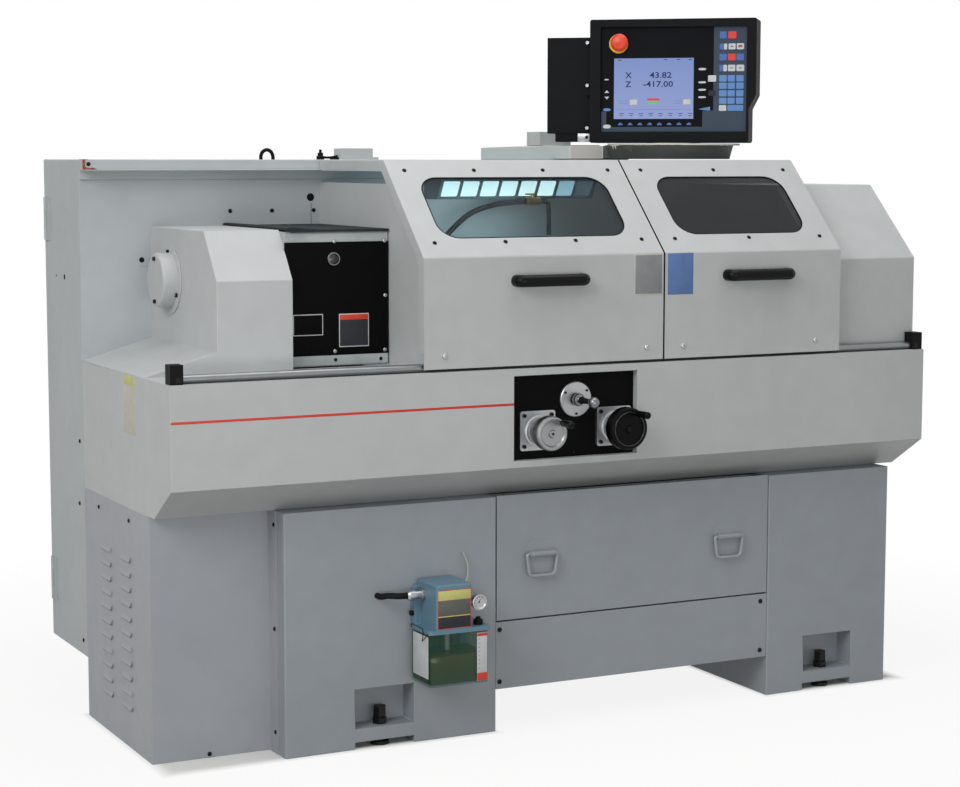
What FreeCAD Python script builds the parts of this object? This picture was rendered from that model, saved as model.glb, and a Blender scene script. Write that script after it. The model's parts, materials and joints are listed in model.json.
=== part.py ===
import FreeCAD, Part
import math
import os
import re
import Sketcher
from FreeCAD import Placement, Rotation, Vector

# CNC turning lathe with sliding guards, a drawer and a swivelling control pendant.
# X runs along the spindle, Y from the operator to the back, Z up from the floor.
# Lengths in the sheet are read from the left face, the front cover and the floor;
# the part's own origin is on the floor in the middle of its outline.

sizes = {
    # whole machine
    "machineLength": 2000, "guardTop": 1340, "rearPlane": 643, "sheetWall": 2, "gripReach": 112,
    "hingeReach": 8, "slideGap": 0.3, "runGap": 0.1, "seam": 2.5,
    # cast pedestals with levelling screws
    "pedestalTop": 558, "pedestalFront": 64, "pedestalWall": 16, "pedestalRoof": 34,
    "leftPedLeft": 281, "leftPedRight": 813, "rightPedLeft": "rightPedRight - 367",
    "rightPedRight": "machineLength - 55", "leftPocketLeft": "leftPedLeft + 171",
    "rightPocketLeft": "rightPedLeft + 111", "pocketWidth": 148, "pocketLow": 48,
    "pocketHigh": 139, "pocketDepth": 60, "notchHigh": 17, "pedestalEdge": 4,
    "levellerInset": 30, "levellerRadius": 10, "levellerHead": 15.5, "levellerHeadLow": 66,
    "levellerHeadHigh": 89, "levellerFoot": 21, "levellerFootHigh": 8, "lockNutHigh": 14,
    # bed
    "bedLeft": 362, "bedRight": "machineLength - 95", "bedFront": 349, "bedBack": 641,
    "wayTop": 854, "wayBase": "wayTop - 8", "veeApex": "wayTop + 8",
    "frontVeeAt": "bedFront + 27", "rearVeeAt": "bedBack - 61", "bedFoot": 34, "bedWeb": 20,
    "bedRailDeep": 46, "frontFlatAt": "frontVeeAt + 26", "frontFlatEnd": "frontFlatAt + 24",
    "rearFlatAt": "rearVeeAt + 24", "rearFlatEnd": "rearFlatAt + 30",
    "bedChannelFront": "frontFlatEnd + 12", "bedChannelBack": "rearVeeAt - 28", "ribCount": 6,
    "ribThick": 18, "ribPitch": 252, "chipHoleLong": 190,
    # front cover, control plate and controls
    "coverTop": "wayTop + 9", "coverLow": 634, "coverTuck": 120, "coverFlangeBack": 226,
    "coverFootBack": 180, "apertureLeft": 826, "apertureRight": 1155, "apertureLow": 649,
    "apertureHigh": "coverTop - 17", "apertureDeep": 20, "plateThick": 3, "leftWheelAt": 894,
    "rightWheelAt": 1098, "wheelHigh": "apertureLow + 67", "joystickAt": 996,
    "joystickHigh": "apertureHigh - 62", "flangeSide": 92, "flangeThick": 8, "hubRadius": 33,
    "hubLong": 42, "wheelShaft": 8, "wheelFace": 62, "leftWheelRadius": 40,
    "rightWheelRadius": 50, "wheelBack": 33, "wheelRim": 6, "gripRadius": 7.5,
    "leftGripOut": 33, "rightGripOut": 41, "joystickFlange": 41.5, "joystickBore": 15,
    "gimbalOuter": 13, "gimbalInner": 9, "gimbalThick": 5, "leverRadius": 6, "pinRadius": 2.2,
    "knobRadius": 13.5, "knobReach": 70,
    # front rail and guards
    "railRadius": 9.5, "railBack": 21, "railHigh": "coverTop + 10", "blockLong": 30,
    "blockInset": 3, "blockFront": 4, "blockBack": 38, "blockHigh": "coverTop + 43",
    "doorFront": 4, "doorLow": "coverTop + 7", "doorKink": 1121, "doorRearEdge": 600,
    "leftDoorLeft": 599, "doorSeam": 1226.5, "doorSeamGap": 2,
    "rightDoorRight": "machineLength - 261", "leftLip": 27, "rightLip": 18,
    "lipLow": "doorLow + 38", "doorHem": 14, "rollerHigh": "railHigh + 26", "rollerThick": 18,
    "rollerInset": 52, "rollerAxle": 5, "rollerSeamInset": 44, "rightRollerInset": 72,
    "rollerFront": 12, "windowLow": "doorKink + 41", "windowHigh": "windowLow + 137",
    "windowCorner": 50, "leftWindowLeft": 663, "leftWindowRight": 1159,
    "rightWindowLeft": "doorSeam + 71.5", "rightWindowRight": "rightDoorRight - 68",
    "paneLap": 14, "paneThick": 5, "handleHigh": "doorKink - 56", "handleProud": 38,
    "handleRadius": 14, "leftHandleLeft": 819, "leftHandleRight": "leftHandleLeft + handleLong",
    "rightHandleLeft": 1393, "rightHandleRight": "rightHandleLeft + handleLong",
    "handleLong": 197,
    # drawer and lower panel
    "drawerFront": 66, "drawerThick": 3, "drawerLow": 264, "drawerHigh": "pedestalTop + 2",
    "boxInset": 27, "boxBack": 560, "boxLow": "drawerLow + 28", "boxHigh": 440, "panelLow": 100,
    "panelHigh": "drawerLow - 4", "panelGap": 0.5, "panelReturn": 26, "bailLeftAt": 931,
    "bailRightAt": 1455, "bailHigh": 417, "bailHalf": 41, "bailFoot": 34, "bailDrop": 52,
    "bailRadius": 4, "bailBend": 12, "bailEnd": 12, "sleeveHalf": 33, "sleeveRadius": 7.5,
    "earDeep": 14, "runnerThick": 3, "runnerWide": 22, "runnerHigh": 300, "runnerLip": 30,
    "runnerFront": 74, "runnerBack": 600, "drawerRail": 10, "trayFront": 130, "trayBack": 630,
    "trayLow": "pedestalTop - 68", "trayHigh": "pedestalTop - 4", "drainLong": 320,
    "drainWide": 180,
    # left end
    "cabinetFront": 156, "flangeFront": 108, "louvreRows": 11, "louvrePitch": 34.3,
    "louvreFirst": 90, "louvreWide": 70, "louvreTall": 15, "louvreProud": 5,
    "frontLouvreAt": 290, "rearLouvreAt": 437, "endPanelFront": 180, "endPanelReturn": 18,
    "endCoverLeft": 173, "endCoverRight": 354, "endCoverTop": "spindleHigh + 121",
    "endCoverKink": "spindleHigh + 11", "endCoverTopFront": 262,
    "platformHigh": "coverTop + 50", "rampToe": 7, "capFlange": 80, "capFlangeThick": 4,
    "capRadius": 64, "capLong": 34, "capEdge": 6,
    # rear cabinet
    "cabinetLow": 141, "rearDepth": 944, "doorPan": 19.6, "rearLipFront": 612,
    "rearLipLow": "guardTop - 24", "rearBandLow": "guardTop - 48", "rearBandFront": 634,
    "ledgeFront": 588, "hingeTall": 106, "upperHingeLow": 1141, "lowerHingeLow": 236,
    "hingePin": 2, "hingeKnuckle": 4, "leafThick": 3, "leafWide": 20, "backPlateLeft": 300,
    "backPlateRight": "machineLength - 300", "backPlateLow": 300, "backPlateHigh": 1200,
    "standOff": 16,
    # spindle, headstock and chuck
    "spindleBack": 495, "spindleHigh": "wayTop + 205", "headLeft": 354, "headRight": 612,
    "headFront": 229, "headTop": "spindleHigh + 117", "headBack": 640,
    "headFoot": "wayTop + 12", "headPanelLow": "headFoot + 25", "headPanelHigh": "headTop - 24",
    "headEdge": 6, "matThick": 5, "shieldLeft": 615, "shieldThick": 3, "shieldFront": 38,
    "shieldTop": "doorKink + 163", "shieldInset": 49, "shieldHole": 84, "spindleBore": 27,
    "spindleJournal": 50, "spindleTail": 40, "spindleLeft": 195, "noseRadius": 80,
    "noseLeft": 622, "chuckLeft": 650, "chuckRight": 735, "chuckRadius": 100, "chuckBore": 28,
    "jawSlot": 22, "jawWide": 24, "jawNeck": 14, "jawNeckDeep": 8, "jawReach": 32,
    "jawBase": 62, "jawStep": 16, "jawRise": 16, "sightAt": 475,
    "sightHigh": "spindleHigh + 54", "sightRadius": 16,
    # belt drive
    "beltLeft": 207, "beltWide": 36, "spindlePulley": 92, "motorPulley": 55, "beltThick": 6,
    "pulleyFlange": 5, "pulleyLip": 3, "motorBack": 400, "motorHigh": 270, "motorRadius": 88,
    "motorLeft": 40, "motorRight": 190, "motorShaft": 14, "motorPlateLow": "cabinetLow + 11",
    # carriage
    "saddleLeft": 990, "saddleLong": 210, "saddleTop": "wayTop + 34", "bridgeInset": 50,
    "wingDeep": 52, "saddleFront": 314, "saddleBack": 640, "apronFront": 276, "apronBack": 342,
    "apronLow": "wayTop - 154", "slideLong": 250, "slideTop": "saddleTop + 36",
    "slideFront": 320, "dovetailWide": 74, "dovetailDeep": 12, "dovetailSpread": 7,
    "slideWide": 104, "postSide": 76, "postBack": "slideFront + 99", "toolSide": 16,
    "toolReach": 68, "postHolder": 26, "screwBack": 308, "screwHigh": "wayTop - 86",
    "screwRadius": 15, "screwEnd": 9, "bearingLong": 34, "bearingHalf": 26,
    # tailstock
    "tailLeft": "tailCoverLeft - 220", "tailLong": 196, "tailBaseHigh": "wayTop + 52",
    "tailBarrel": 46, "tailWebHalf": 34, "tailFront": 398, "tailBack": 626, "quillRadius": 27,
    "quillOut": 42, "quillIn": 150, "centreLong": 34, "tailWheelRadius": 78, "tailWheelGap": 26,
    "tailWheelThick": 18, "tailScrew": 9,
    # right end
    "tailCoverLeft": "machineLength - 300", "tailCoverFront": 46, "tailCoverKink": 1094.5,
    "tailCoverTop": 1276, "tailCoverTopFront": 234,
    # work lamp and coolant line
    "lampLeft": 904, "lampRight": 1354, "lampLow": "guardTop - 100",
    "lampHigh": "lampLow + 51.5", "lampFront": 570, "lampLean": 30, "lampSill": 7,
    "lampBrow": 4, "lampCells": 8, "lampRim": 8, "hoseRadius": 7, "hoseBack": 555,
    # lubricator
    "oilLeft": 590, "oilRight": 739, "oilFront": -44, "oilBack": 58, "oilLow": 152,
    "oilHigh": 273, "oilWall": 3, "lidHigh": "oilHigh + 10", "pumpLeft": 605, "pumpRight": 694,
    "pumpFront": -46, "pumpHigh": 386, "pumpEdge": 5, "pumpBacking": 24, "gaugeRadius": 18,
    "gaugeAt": 718, "gaugeHigh": 337, "capSize": 11, "conduitRadius": 7,
    # pendant
    "pendantAt": 1560, "pendantBack": 500, "pendantWide": 430, "pendantLow": "guardTop + 44",
    "pendantHigh": "pendantLow + 319", "pendantDeep": 104, "pendantTurn": 39.7, "notchWide": 18,
    "notchLow": "pendantLow + 87", "notchTop": "notchLow + 36", "faceWide": 380,
    "faceLow": "pendantLow + 29", "faceHigh": "pendantHigh - 21", "faceSink": 9, "faceThick": 4,
    "screenWide": 209, "screenLow": "faceLow + 33", "screenHigh": "screenLow + 157",
    "screenAt": -48, "stopAt": -138, "stopHigh": "faceHigh - 39", "stopRadius": 23,
    "stopTravel": 4, "sideBoxWide": 120, "sideBoxHigh": "pendantHigh - 44", "sideBoxDeep": 84,
    "sideBoxLow": "pendantLow + 25", "bezelRight": 4, "faceShift": 4, "drumShift": 14,
    "spigotRadius": 25, "turntableTop": "pendantLow - 0.4", "drumRadius": 158,
    "drumTopRadius": 168, "drumLow": "guardTop + 2", "drumHigh": "drumLow + 36", "drumPlate": 4,
    "armBlockLeft": 1145, "armBlockRight": 1420, "armBlockFront": 800,
    "armBlockHigh": "guardTop + 39", "armLeft": 1285, "armRight": 1379, "armFront": 560,
    "armHigh": "guardTop + 36", "linkFoot": 85, "ductLeft": 1349, "ductHigh": "guardTop + 76",
    # guard interlock
    "lockLeft": 668, "lockRight": 776, "lockHigh": "guardTop + 28",
}

os.makedirs("parts", exist_ok=True)
doc = FreeCAD.newDocument("turning_lathe")
sheet = doc.addObject("Spreadsheet::Sheet", "Sizes")
for row, (alias, value) in enumerate(sizes.items(), start=1):
    sheet.set(f"A{row}", alias)
    sheet.set(f"B{row}", f"={value}")
    sheet.setAlias(f"B{row}", alias)
doc.recompute()

originX = "(machineLength - hingeReach) / 2"
originY = "(rearDepth - gripReach) / 2"
aliasWord = re.compile(r"[A-Za-z]+")
nodes = []


def formula(words):
    """Writes a sum of sizes in the sheet's terms."""
    return aliasWord.sub(lambda m: "Sizes." + m[0] if m[0] in sizes else m[0], str(words))


def number(words):
    return float(sheet.evalExpression(formula(words)))


def bind(obj, prop, words):
    obj.setExpression(prop, formula(words))


def place(obj, x, y, z, turn=None):
    """Puts an object at a point of the machine, read from its left face, cover and floor."""
    if turn is not None:
        obj.Placement = Placement(Vector(), turn)
    bind(obj, "Placement.Base.x", f"({x}) - ({originX})")
    bind(obj, "Placement.Base.y", f"({y}) - ({originY})")
    bind(obj, "Placement.Base.z", z)
    return obj


def keep(obj, label):
    obj.Label = label
    nodes.append(obj)
    doc.recompute()
    return obj


# ---- primitives ----

alongX = Rotation(Vector(0, 1, 0), 90)
alongY = Rotation(Vector(1, 0, 0), -90)
alongZ = Rotation()
axisTurn = {"x": alongX, "y": alongY, "z": alongZ}


def block(name, x0, x1, y0, y1, z0, z1):
    obj = doc.addObject("Part::Box", name)
    bind(obj, "Length", f"({x1}) - ({x0})")
    bind(obj, "Width", f"({y1}) - ({y0})")
    bind(obj, "Height", f"({z1}) - ({z0})")
    return place(obj, x0, y0, z0)


def bar(name, axis, x, y, z, radius, length):
    obj = doc.addObject("Part::Cylinder", name)
    bind(obj, "Radius", radius)
    bind(obj, "Height", length)
    return place(obj, x, y, z, axisTurn[axis])


def taper(name, axis, x, y, z, radius, end_radius, length):
    obj = doc.addObject("Part::Cone", name)
    bind(obj, "Radius1", radius)
    bind(obj, "Radius2", end_radius)
    bind(obj, "Height", length)
    return place(obj, x, y, z, axisTurn[axis])


def hexagon(name, axis, x, y, z, corner, length):
    obj = doc.addObject("Part::Prism", name)
    obj.Polygon = 6
    bind(obj, "Circumradius", corner)
    bind(obj, "Height", length)
    return place(obj, x, y, z, axisTurn[axis])


def ball(name, x, y, z, radius):
    obj = doc.addObject("Part::Sphere", name)
    bind(obj, "Radius", radius)
    return place(obj, x, y, z)


def fuse(name, *pieces):
    obj = doc.addObject("Part::MultiFuse", name)
    obj.Shapes = list(pieces)
    return obj


def cut(name, base, *tools):
    tool = tools[0] if len(tools) == 1 else fuse(name + "Tools", *tools)
    obj = doc.addObject("Part::Cut", name)
    obj.Base = base
    obj.Tool = tool
    return obj


def group(name, *pieces):
    """Separate solids that belong to one node."""
    obj = doc.addObject("Part::Compound", name)
    obj.Links = list(pieces)
    return obj


# ---- sketched features ----

def sketch_on(body, plane, start):
    """A sketch on one of the body's own planes, moved along its normal to start."""
    origin = [item for item in body.Origin.OriginFeatures if item.Role == plane + "_Plane"][0]
    sketch = body.newObject("Sketcher::SketchObject", body.Name + "Sketch")
    sketch.AttachmentSupport = [(origin, "")]
    sketch.MapMode = "FlatFace"
    bind(sketch, "AttachmentOffset.Base.z", f"-({start})" if plane == "XZ" else start)
    return sketch


def pin_point(sketch, geometry, end, u, v):
    for kind, words in (("DistanceX", u), ("DistanceY", v)):
        rule = Sketcher.Constraint(kind, -1, 1, geometry, end, number(words))
        index = sketch.addConstraint(rule)
        sketch.setExpression(f"Constraints[{index}]", formula(words))


def draw_loop(sketch, corners):
    """A closed outline of straight edges whose corners follow the sheet."""
    points = [Vector(number(u), number(v), 0) for u, v in corners]
    count = len(points)
    first = len(sketch.Geometry)
    for i in range(count):
        sketch.addGeometry(Part.LineSegment(points[i], points[(i + 1) % count]), False)
    for i in range(count):
        nxt = first + (i + 1) % count
        sketch.addConstraint(Sketcher.Constraint("Coincident", first + i, 2, nxt, 1))
    for i, (u, v) in enumerate(corners):
        pin_point(sketch, first + i, 1, u, v)


def draw_circle(sketch, u, v, radius):
    centre = Vector(number(u), number(v), 0)
    index = sketch.addGeometry(Part.Circle(centre, Vector(0, 0, 1), number(radius)), False)
    pin_point(sketch, index, 3, u, v)
    rule = sketch.addConstraint(Sketcher.Constraint("Radius", index, number(radius)))
    sketch.setExpression(f"Constraints[{rule}]", formula(radius))


def rectangle(u0, u1, v0, v1):
    return [(u0, v0), (u1, v0), (u1, v1), (u0, v1)]


def draw(sketch, loops):
    """Each loop is a list of corners, or the centre and radius of a circle."""
    for loop in loops:
        if len(loop) == 3 and not isinstance(loop[0], tuple):
            draw_circle(sketch, *loop)
        else:
            draw_loop(sketch, loop)


def pad(body, plane, start, depth, *loops):
    sketch = sketch_on(body, plane, start)
    draw(sketch, loops)
    feature = body.newObject("PartDesign::Pad", body.Name + "Pad")
    feature.Profile = sketch
    feature.Reversed = plane == "XZ"
    bind(feature, "Length", depth)
    doc.recompute()
    return feature


def prism(name, plane, start, depth, *loops):
    """A body that starts as one outline pushed along X, Y or Z."""
    body = doc.addObject("PartDesign::Body", name)
    place(body, "0", "0", "0")
    pad(body, plane, start, depth, *loops)
    return body


def pocket(body, plane, start, depth, *loops):
    before = body.Shape.Volume
    sketch = sketch_on(body, plane, start)
    draw(sketch, loops)
    feature = body.newObject("PartDesign::Pocket", body.Name + "Pocket")
    feature.Profile = sketch
    feature.Reversed = plane != "XZ"
    bind(feature, "Length", depth)
    doc.recompute()
    if body.Shape.Volume >= before:
        raise ValueError(f"{feature.Name} cuts nothing")
    return feature


def repeat(body, features, plane_axis, pitch, count):
    """Copies of features in a row along a sketch axis of the first one."""
    pattern = body.newObject("PartDesign::LinearPattern", body.Name + "Row")
    pattern.Originals = list(features)
    pattern.Direction = (features[0].Profile[0], [plane_axis])
    pattern.Mode = "Spacing"
    bind(pattern, "Offset", pitch)
    bind(pattern, "Occurrences", count)
    body.Tip = pattern
    doc.recompute()
    return pattern


def round_edges(body, radius, chosen):
    """Rounds the edges of the body's last feature that chosen picks by middle and ends."""
    base = body.Tip
    names = []
    for i, edge in enumerate(base.Shape.Edges, start=1):
        ends = [vertex.Point for vertex in edge.Vertexes]
        if len(ends) == 2 and edge.Curve.TypeId == "Part::GeomLine" and chosen(*ends):
            names.append(f"Edge{i}")
    feature = body.newObject("PartDesign::Fillet", body.Name + "Round")
    feature.Base = (base, names)
    bind(feature, "Radius", radius)
    doc.recompute()
    return feature


turnedTo = {
    "+x": Rotation(), "-x": Rotation(Vector(0, 0, 1), 180),
    "+y": Rotation(Vector(0, 0, 1), 90), "-y": Rotation(Vector(0, 0, 1), -90),
    "+z": Rotation(Vector(0, 1, 0), -90), "-z": Rotation(Vector(0, 1, 0), 90),
}


def turned(name, axis, x, y, z, stations):
    """A lathe-turned piece: stations are distances along the axis and radii."""
    body = doc.addObject("PartDesign::Body", name)
    sketch = sketch_on(body, "XZ", "0")
    draw_loop(sketch, stations)
    feature = body.newObject("PartDesign::Revolution", name + "Turn")
    feature.Profile = sketch
    feature.ReferenceAxis = (sketch, ["H_Axis"])
    feature.Angle = 360
    place(body, x, y, z, turnedTo[axis])
    doc.recompute()
    return body


# ---- bent tubes ----

def rounded_path(points, bend):
    """Straight runs joined by tangent arcs: one bend for all, one each, or as large as fits."""
    edges = []
    start = points[0]
    bends = bend if isinstance(bend, list) else [bend] * (len(points) - 2)
    for before, corner, after, bend in zip(points, points[1:], points[2:], bends):
        into = (corner - before).normalize()
        out = (after - corner).normalize()
        turn = into.getAngle(out)
        room = 0.45 * min((corner - before).Length, (after - corner).Length)
        radius = room / math.tan(turn / 2)
        if bend:
            radius = min(radius, bend)
        back = radius * math.tan(turn / 2)
        first = corner - into * back
        last = corner + out * back
        inward = (out - into).normalize()
        centre = corner + inward * (radius / math.cos(turn / 2))
        middle = centre - inward * radius
        edges.append(Part.LineSegment(start, first).toShape())
        edges.append(Part.Arc(first, middle, last).toShape())
        start = last
    edges.append(Part.LineSegment(start, points[-1]).toShape())
    return Part.Wire(edges)


def tube(name, corners, radius, bend=None):
    """A round bar or hose swept along corners of the machine."""
    points = [Vector(*(number(c) for c in corner)) for corner in corners]
    if isinstance(bend, list):
        path = rounded_path(points, [number(b) for b in bend])
    else:
        path = rounded_path(points, number(bend) if bend else None)
    normal = points[1] - points[0]
    ring = Part.Wire([Part.Circle(points[0], normal, number(radius)).toShape()])
    obj = doc.addObject("Part::Feature", name)
    obj.Shape = path.makePipeShell([ring], True, False)
    return place(obj, "0", "0", "0")


# ---- pedestals ----

def pedestal(label, left, right, pocket_left):
    wall = "pedestalWall"
    body = prism("pedestal", "XY", "0", "pedestalTop",
                 rectangle(left, right, "pedestalFront", "rearPlane"))
    round_edges(body, "pedestalEdge", lambda a, b: abs(a.z - b.z) > number("pedestalTop") / 2)
    hollow = rectangle(f"{left} + {wall}", f"{right} - {wall}",
                       f"pedestalFront + pocketDepth + {wall}",
                       f"rearPlane - pocketDepth - {wall}")
    pocket(body, "XY", "0", "pedestalTop - pedestalRoof", hollow)
    pocket_right = f"{pocket_left} + pocketWidth"
    recess = rectangle(pocket_left, pocket_right, "pocketLow", "pocketHigh")
    notch = rectangle(pocket_left, pocket_right, "0", "notchHigh")
    for start in ("pedestalFront", "rearPlane - pocketDepth"):
        pocket(body, "XZ", start, "pocketDepth", recess, notch)
    middle = f"{pocket_left} + pocketWidth / 2"
    holes = [(middle, y, "levellerRadius + slideGap") for y in leveller_places()]
    pocket(body, "XY", "0", "pocketLow", *holes)
    return keep(body, label)


def leveller_places():
    return ["pedestalFront + levellerInset", "rearPlane - levellerInset"]


def levelling_screws():
    screws = []
    for pocket_left in ("leftPocketLeft", "rightPocketLeft"):
        x = f"{pocket_left} + pocketWidth / 2"
        for y in leveller_places():
            foot = bar("foot", "z", x, y, "0", "levellerFoot", "levellerFootHigh")
            shank = bar("shank", "z", x, y, "levellerFootHigh / 2", "levellerRadius",
                        "levellerHeadLow")
            nut = hexagon("nut", "z", x, y, "pocketLow", "levellerHead + 2", "lockNutHigh")
            head = hexagon("head", "z", x, y, "levellerHeadLow", "levellerHead",
                           "levellerHeadHigh - levellerHeadLow")
            screws.append(fuse("leveller", foot, shank, nut, head))
    return keep(group("levellers", *screws), "levelling_screws")


# ---- bed with vee ways ----

def vee_notch(centre, level, clearance):
    """Three corners of an upside-down vee that sits over a way, from back to front."""
    apex = f"veeApex + {clearance} * 1.4142"
    half = f"({apex} - ({level}))"
    return [(f"{centre} + {half}", level), (centre, apex), (f"{centre} - {half}", level)]


def bed():
    base = "wayBase"
    low = "pedestalTop"
    foot = "pedestalTop + bedFoot"
    skirt = "wayBase - bedRailDeep"
    apex = "veeApex"
    half = "(veeApex - wayBase)"
    front_web = "bedFront + 8"
    back_web = "bedBack - 8"
    outline = [
        ("bedFront", low), ("bedBack", low), ("bedBack", foot), (back_web, f"{foot} + 12"),
        (back_web, f"{skirt} - 10"), ("bedBack", skirt), ("bedBack", base),
        ("rearFlatEnd", base), ("rearFlatEnd", "wayTop"), ("rearFlatAt", "wayTop"),
        ("rearFlatAt", base), (f"rearVeeAt + {half}", base), ("rearVeeAt", apex),
        (f"rearVeeAt - {half}", base), ("bedChannelBack", base), ("bedChannelBack", skirt),
        (f"{back_web} - bedWeb", f"{skirt} - 30"), (f"{back_web} - bedWeb", f"{foot} + 12"),
        (f"{front_web} + bedWeb", f"{foot} + 12"), (f"{front_web} + bedWeb", f"{skirt} - 30"),
        ("bedChannelFront", skirt), ("bedChannelFront", base), ("frontFlatEnd", base),
        ("frontFlatEnd", "wayTop"), ("frontFlatAt", "wayTop"), ("frontFlatAt", base),
        (f"frontVeeAt + {half}", base), ("frontVeeAt", apex), (f"frontVeeAt - {half}", base),
        ("bedFront", base), ("bedFront", skirt), (front_web, f"{skirt} - 10"),
        (front_web, f"{foot} + 12"), ("bedFront", foot),
    ]
    body = prism("bedBody", "YZ", "bedLeft", "bedRight - bedLeft", outline)
    rib = rectangle(f"{front_web} + bedWeb - 1", f"{back_web} - bedWeb + 1", f"{foot} + 11",
                    f"{skirt} - 16")
    first = "bedLeft + 130"
    ribs = pad(body, "YZ", first, "ribThick", rib)
    repeat(body, [ribs], "N_Axis", "ribPitch", "ribCount")
    chip_hole = rectangle(f"{first} + 36", f"{first} + 36 + chipHoleLong",
                          "bedChannelFront - 20", "bedChannelBack + 20")
    hole = pocket(body, "XY", low, "bedFoot + 14", chip_hole)
    repeat(body, [hole], "H_Axis", "ribPitch", "ribCount - 1")
    bearings = []
    for x in ("bedLeft", "bedRight - bearingLong"):
        pillow = block("pillow", x, f"{x} + bearingLong", "screwBack - bearingHalf",
                       "bedFront + 9", "screwHigh - bearingHalf", "screwHigh + bearingHalf")
        bore = bar("screwBore", "x", x, "screwBack", "screwHigh", "screwEnd + runGap",
                   "bearingLong")
        bearings.append(cut("bearing", pillow, bore))
    return keep(fuse("bedCasting", body, *bearings), "bed")


def chip_tray():
    left, right = "leftPedRight", "rightPedLeft"
    wall = "sheetWall"
    outer = block("tray", left, right, "trayFront", "trayBack", "trayLow", "trayHigh")
    inner = block("trayInside", f"{left} + {wall}", f"{right} - {wall}",
                  f"trayFront + {wall}", f"trayBack - {wall}", f"trayLow + {wall}",
                  "trayHigh + 1")
    middle = f"({left} + {right}) / 2"
    depth = "(trayFront + trayBack) / 2"
    drain = block("drain", f"{middle} - drainLong / 2", f"{middle} + drainLong / 2",
                  f"{depth} - drainWide / 2", f"{depth} + drainWide / 2", "trayLow - 1",
                  f"trayLow + {wall} + 1")
    tray = cut("trayShell", outer, inner, drain)
    runners = []
    top = "runnerHigh + runnerThick"
    for inside, outside in ((left, f"{left} + runnerThick"), (f"{right} - runnerThick", right)):
        leg_left = inside if inside == left else f"{right} - runnerWide"
        leg_right = f"{left} + runnerWide" if inside == left else right
        web = block("runnerWeb", inside, outside, "runnerFront", "runnerBack", "runnerHigh",
                    "runnerHigh + runnerLip")
        leg = block("runnerLeg", leg_left, leg_right, "runnerFront", "runnerBack",
                    "runnerHigh", top)
        runners.append(fuse("runner", web, leg))
    return keep(group("trayParts", tray, *runners), "chip_tray")


# ---- left end ----

def end_cabinet():
    right = "leftPedLeft"
    wall = "sheetWall"
    front, back = "cabinetFront", "rearPlane"
    outline = [
        ("0", front), (f"{right} - {wall}", front), (f"{right} - {wall}", "flangeFront"),
        (right, "flangeFront"), (right, f"{front} + {wall}"), (wall, f"{front} + {wall}"),
        (wall, f"{back} - {wall}"), (right, f"{back} - {wall}"), (right, back), ("0", back),
    ]
    body = prism("cabinet", "XY", "0", "pedestalTop", outline)
    low = "louvreFirst"
    hood = [("0.5", low), ("-louvreProud", low), ("-louvreProud", f"{low} + 3"),
            ("0.5", f"{low} + louvreTall")]
    slot = rectangle("-1", f"{wall} + 1", f"{low} + 2.5", f"{low} + 8")
    features = []
    for y in ("frontLouvreAt", "rearLouvreAt"):
        features.append(pad(body, "XZ", y, "louvreWide", hood))
    for y in ("frontLouvreAt", "rearLouvreAt"):
        features.append(pocket(body, "XZ", f"{y} + 4", "louvreWide - 8", slot))
    repeat(body, features, "V_Axis", "louvrePitch", "louvreRows")
    return keep(body, "end_cabinet")


def left_end_panel():
    front, back, fold = "endPanelFront", "rearPlane", "endPanelReturn"
    wall = "sheetWall"
    outline = [
        ("0", front), (fold, front), (fold, f"{front} + {wall}"), (wall, f"{front} + {wall}"),
        (wall, f"{back} - {wall}"), (fold, f"{back} - {wall}"), (fold, back), ("0", back),
    ]
    body = prism("endPanel", "XY", "pedestalTop", f"coverTop - {wall} - pedestalTop", outline)
    return keep(body, "left_end_panel")


def end_cover():
    wall = "sheetWall"
    left, right = "endCoverLeft", "endCoverRight"
    front, back, top = "endPanelFront", "rearPlane", "endCoverTop"
    low = "coverTop"
    outer = [(front, low), (front, "endCoverKink"), ("endCoverTopFront", top), (back, top),
             (back, low)]
    inner = [(f"{front} + {wall}", f"{low} - 1"), (f"{front} + {wall}", "endCoverKink - 1"),
             (f"endCoverTopFront + {wall} / 2", f"{top} - {wall}"),
             (f"{back} - {wall}", f"{top} - {wall}"), (f"{back} - {wall}", f"{low} - 1")]
    body = prism("endCover", "YZ", left, f"{right} - {left}", outer)
    pocket(body, "YZ", f"{left} + {wall}", f"{right} - {left} - {wall}", inner)
    ramp = [("rampToe", low), ("0", low), (left, "platformHigh"),
            (f"{left} + 1", "platformHigh"), (f"{left} + 1", f"platformHigh - {wall}")]
    pad(body, "XZ", front, f"{back} - {front}", ramp)
    gusset = [("1", low), (f"{left} + 1", low), (f"{left} + 1", "platformHigh - 1")]
    pad(body, "XZ", front, wall, gusset)
    cap = turned("cap", "-x", left, "spindleBack", "spindleHigh", [
        ("0", "0"), ("0", "capFlange"), ("capFlangeThick", "capFlange"),
        ("capFlangeThick", "capRadius"), ("capFlangeThick + capLong - capEdge", "capRadius"),
        ("capFlangeThick + capLong - 1", "capRadius - capEdge + 1"),
        ("capFlangeThick + capLong", "capRadius - capEdge - 2"),
        ("capFlangeThick + capLong", "0"),
    ])
    return keep(group("endCovers", body, cap), "end_cover")


# ---- front cover and its controls ----

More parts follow.
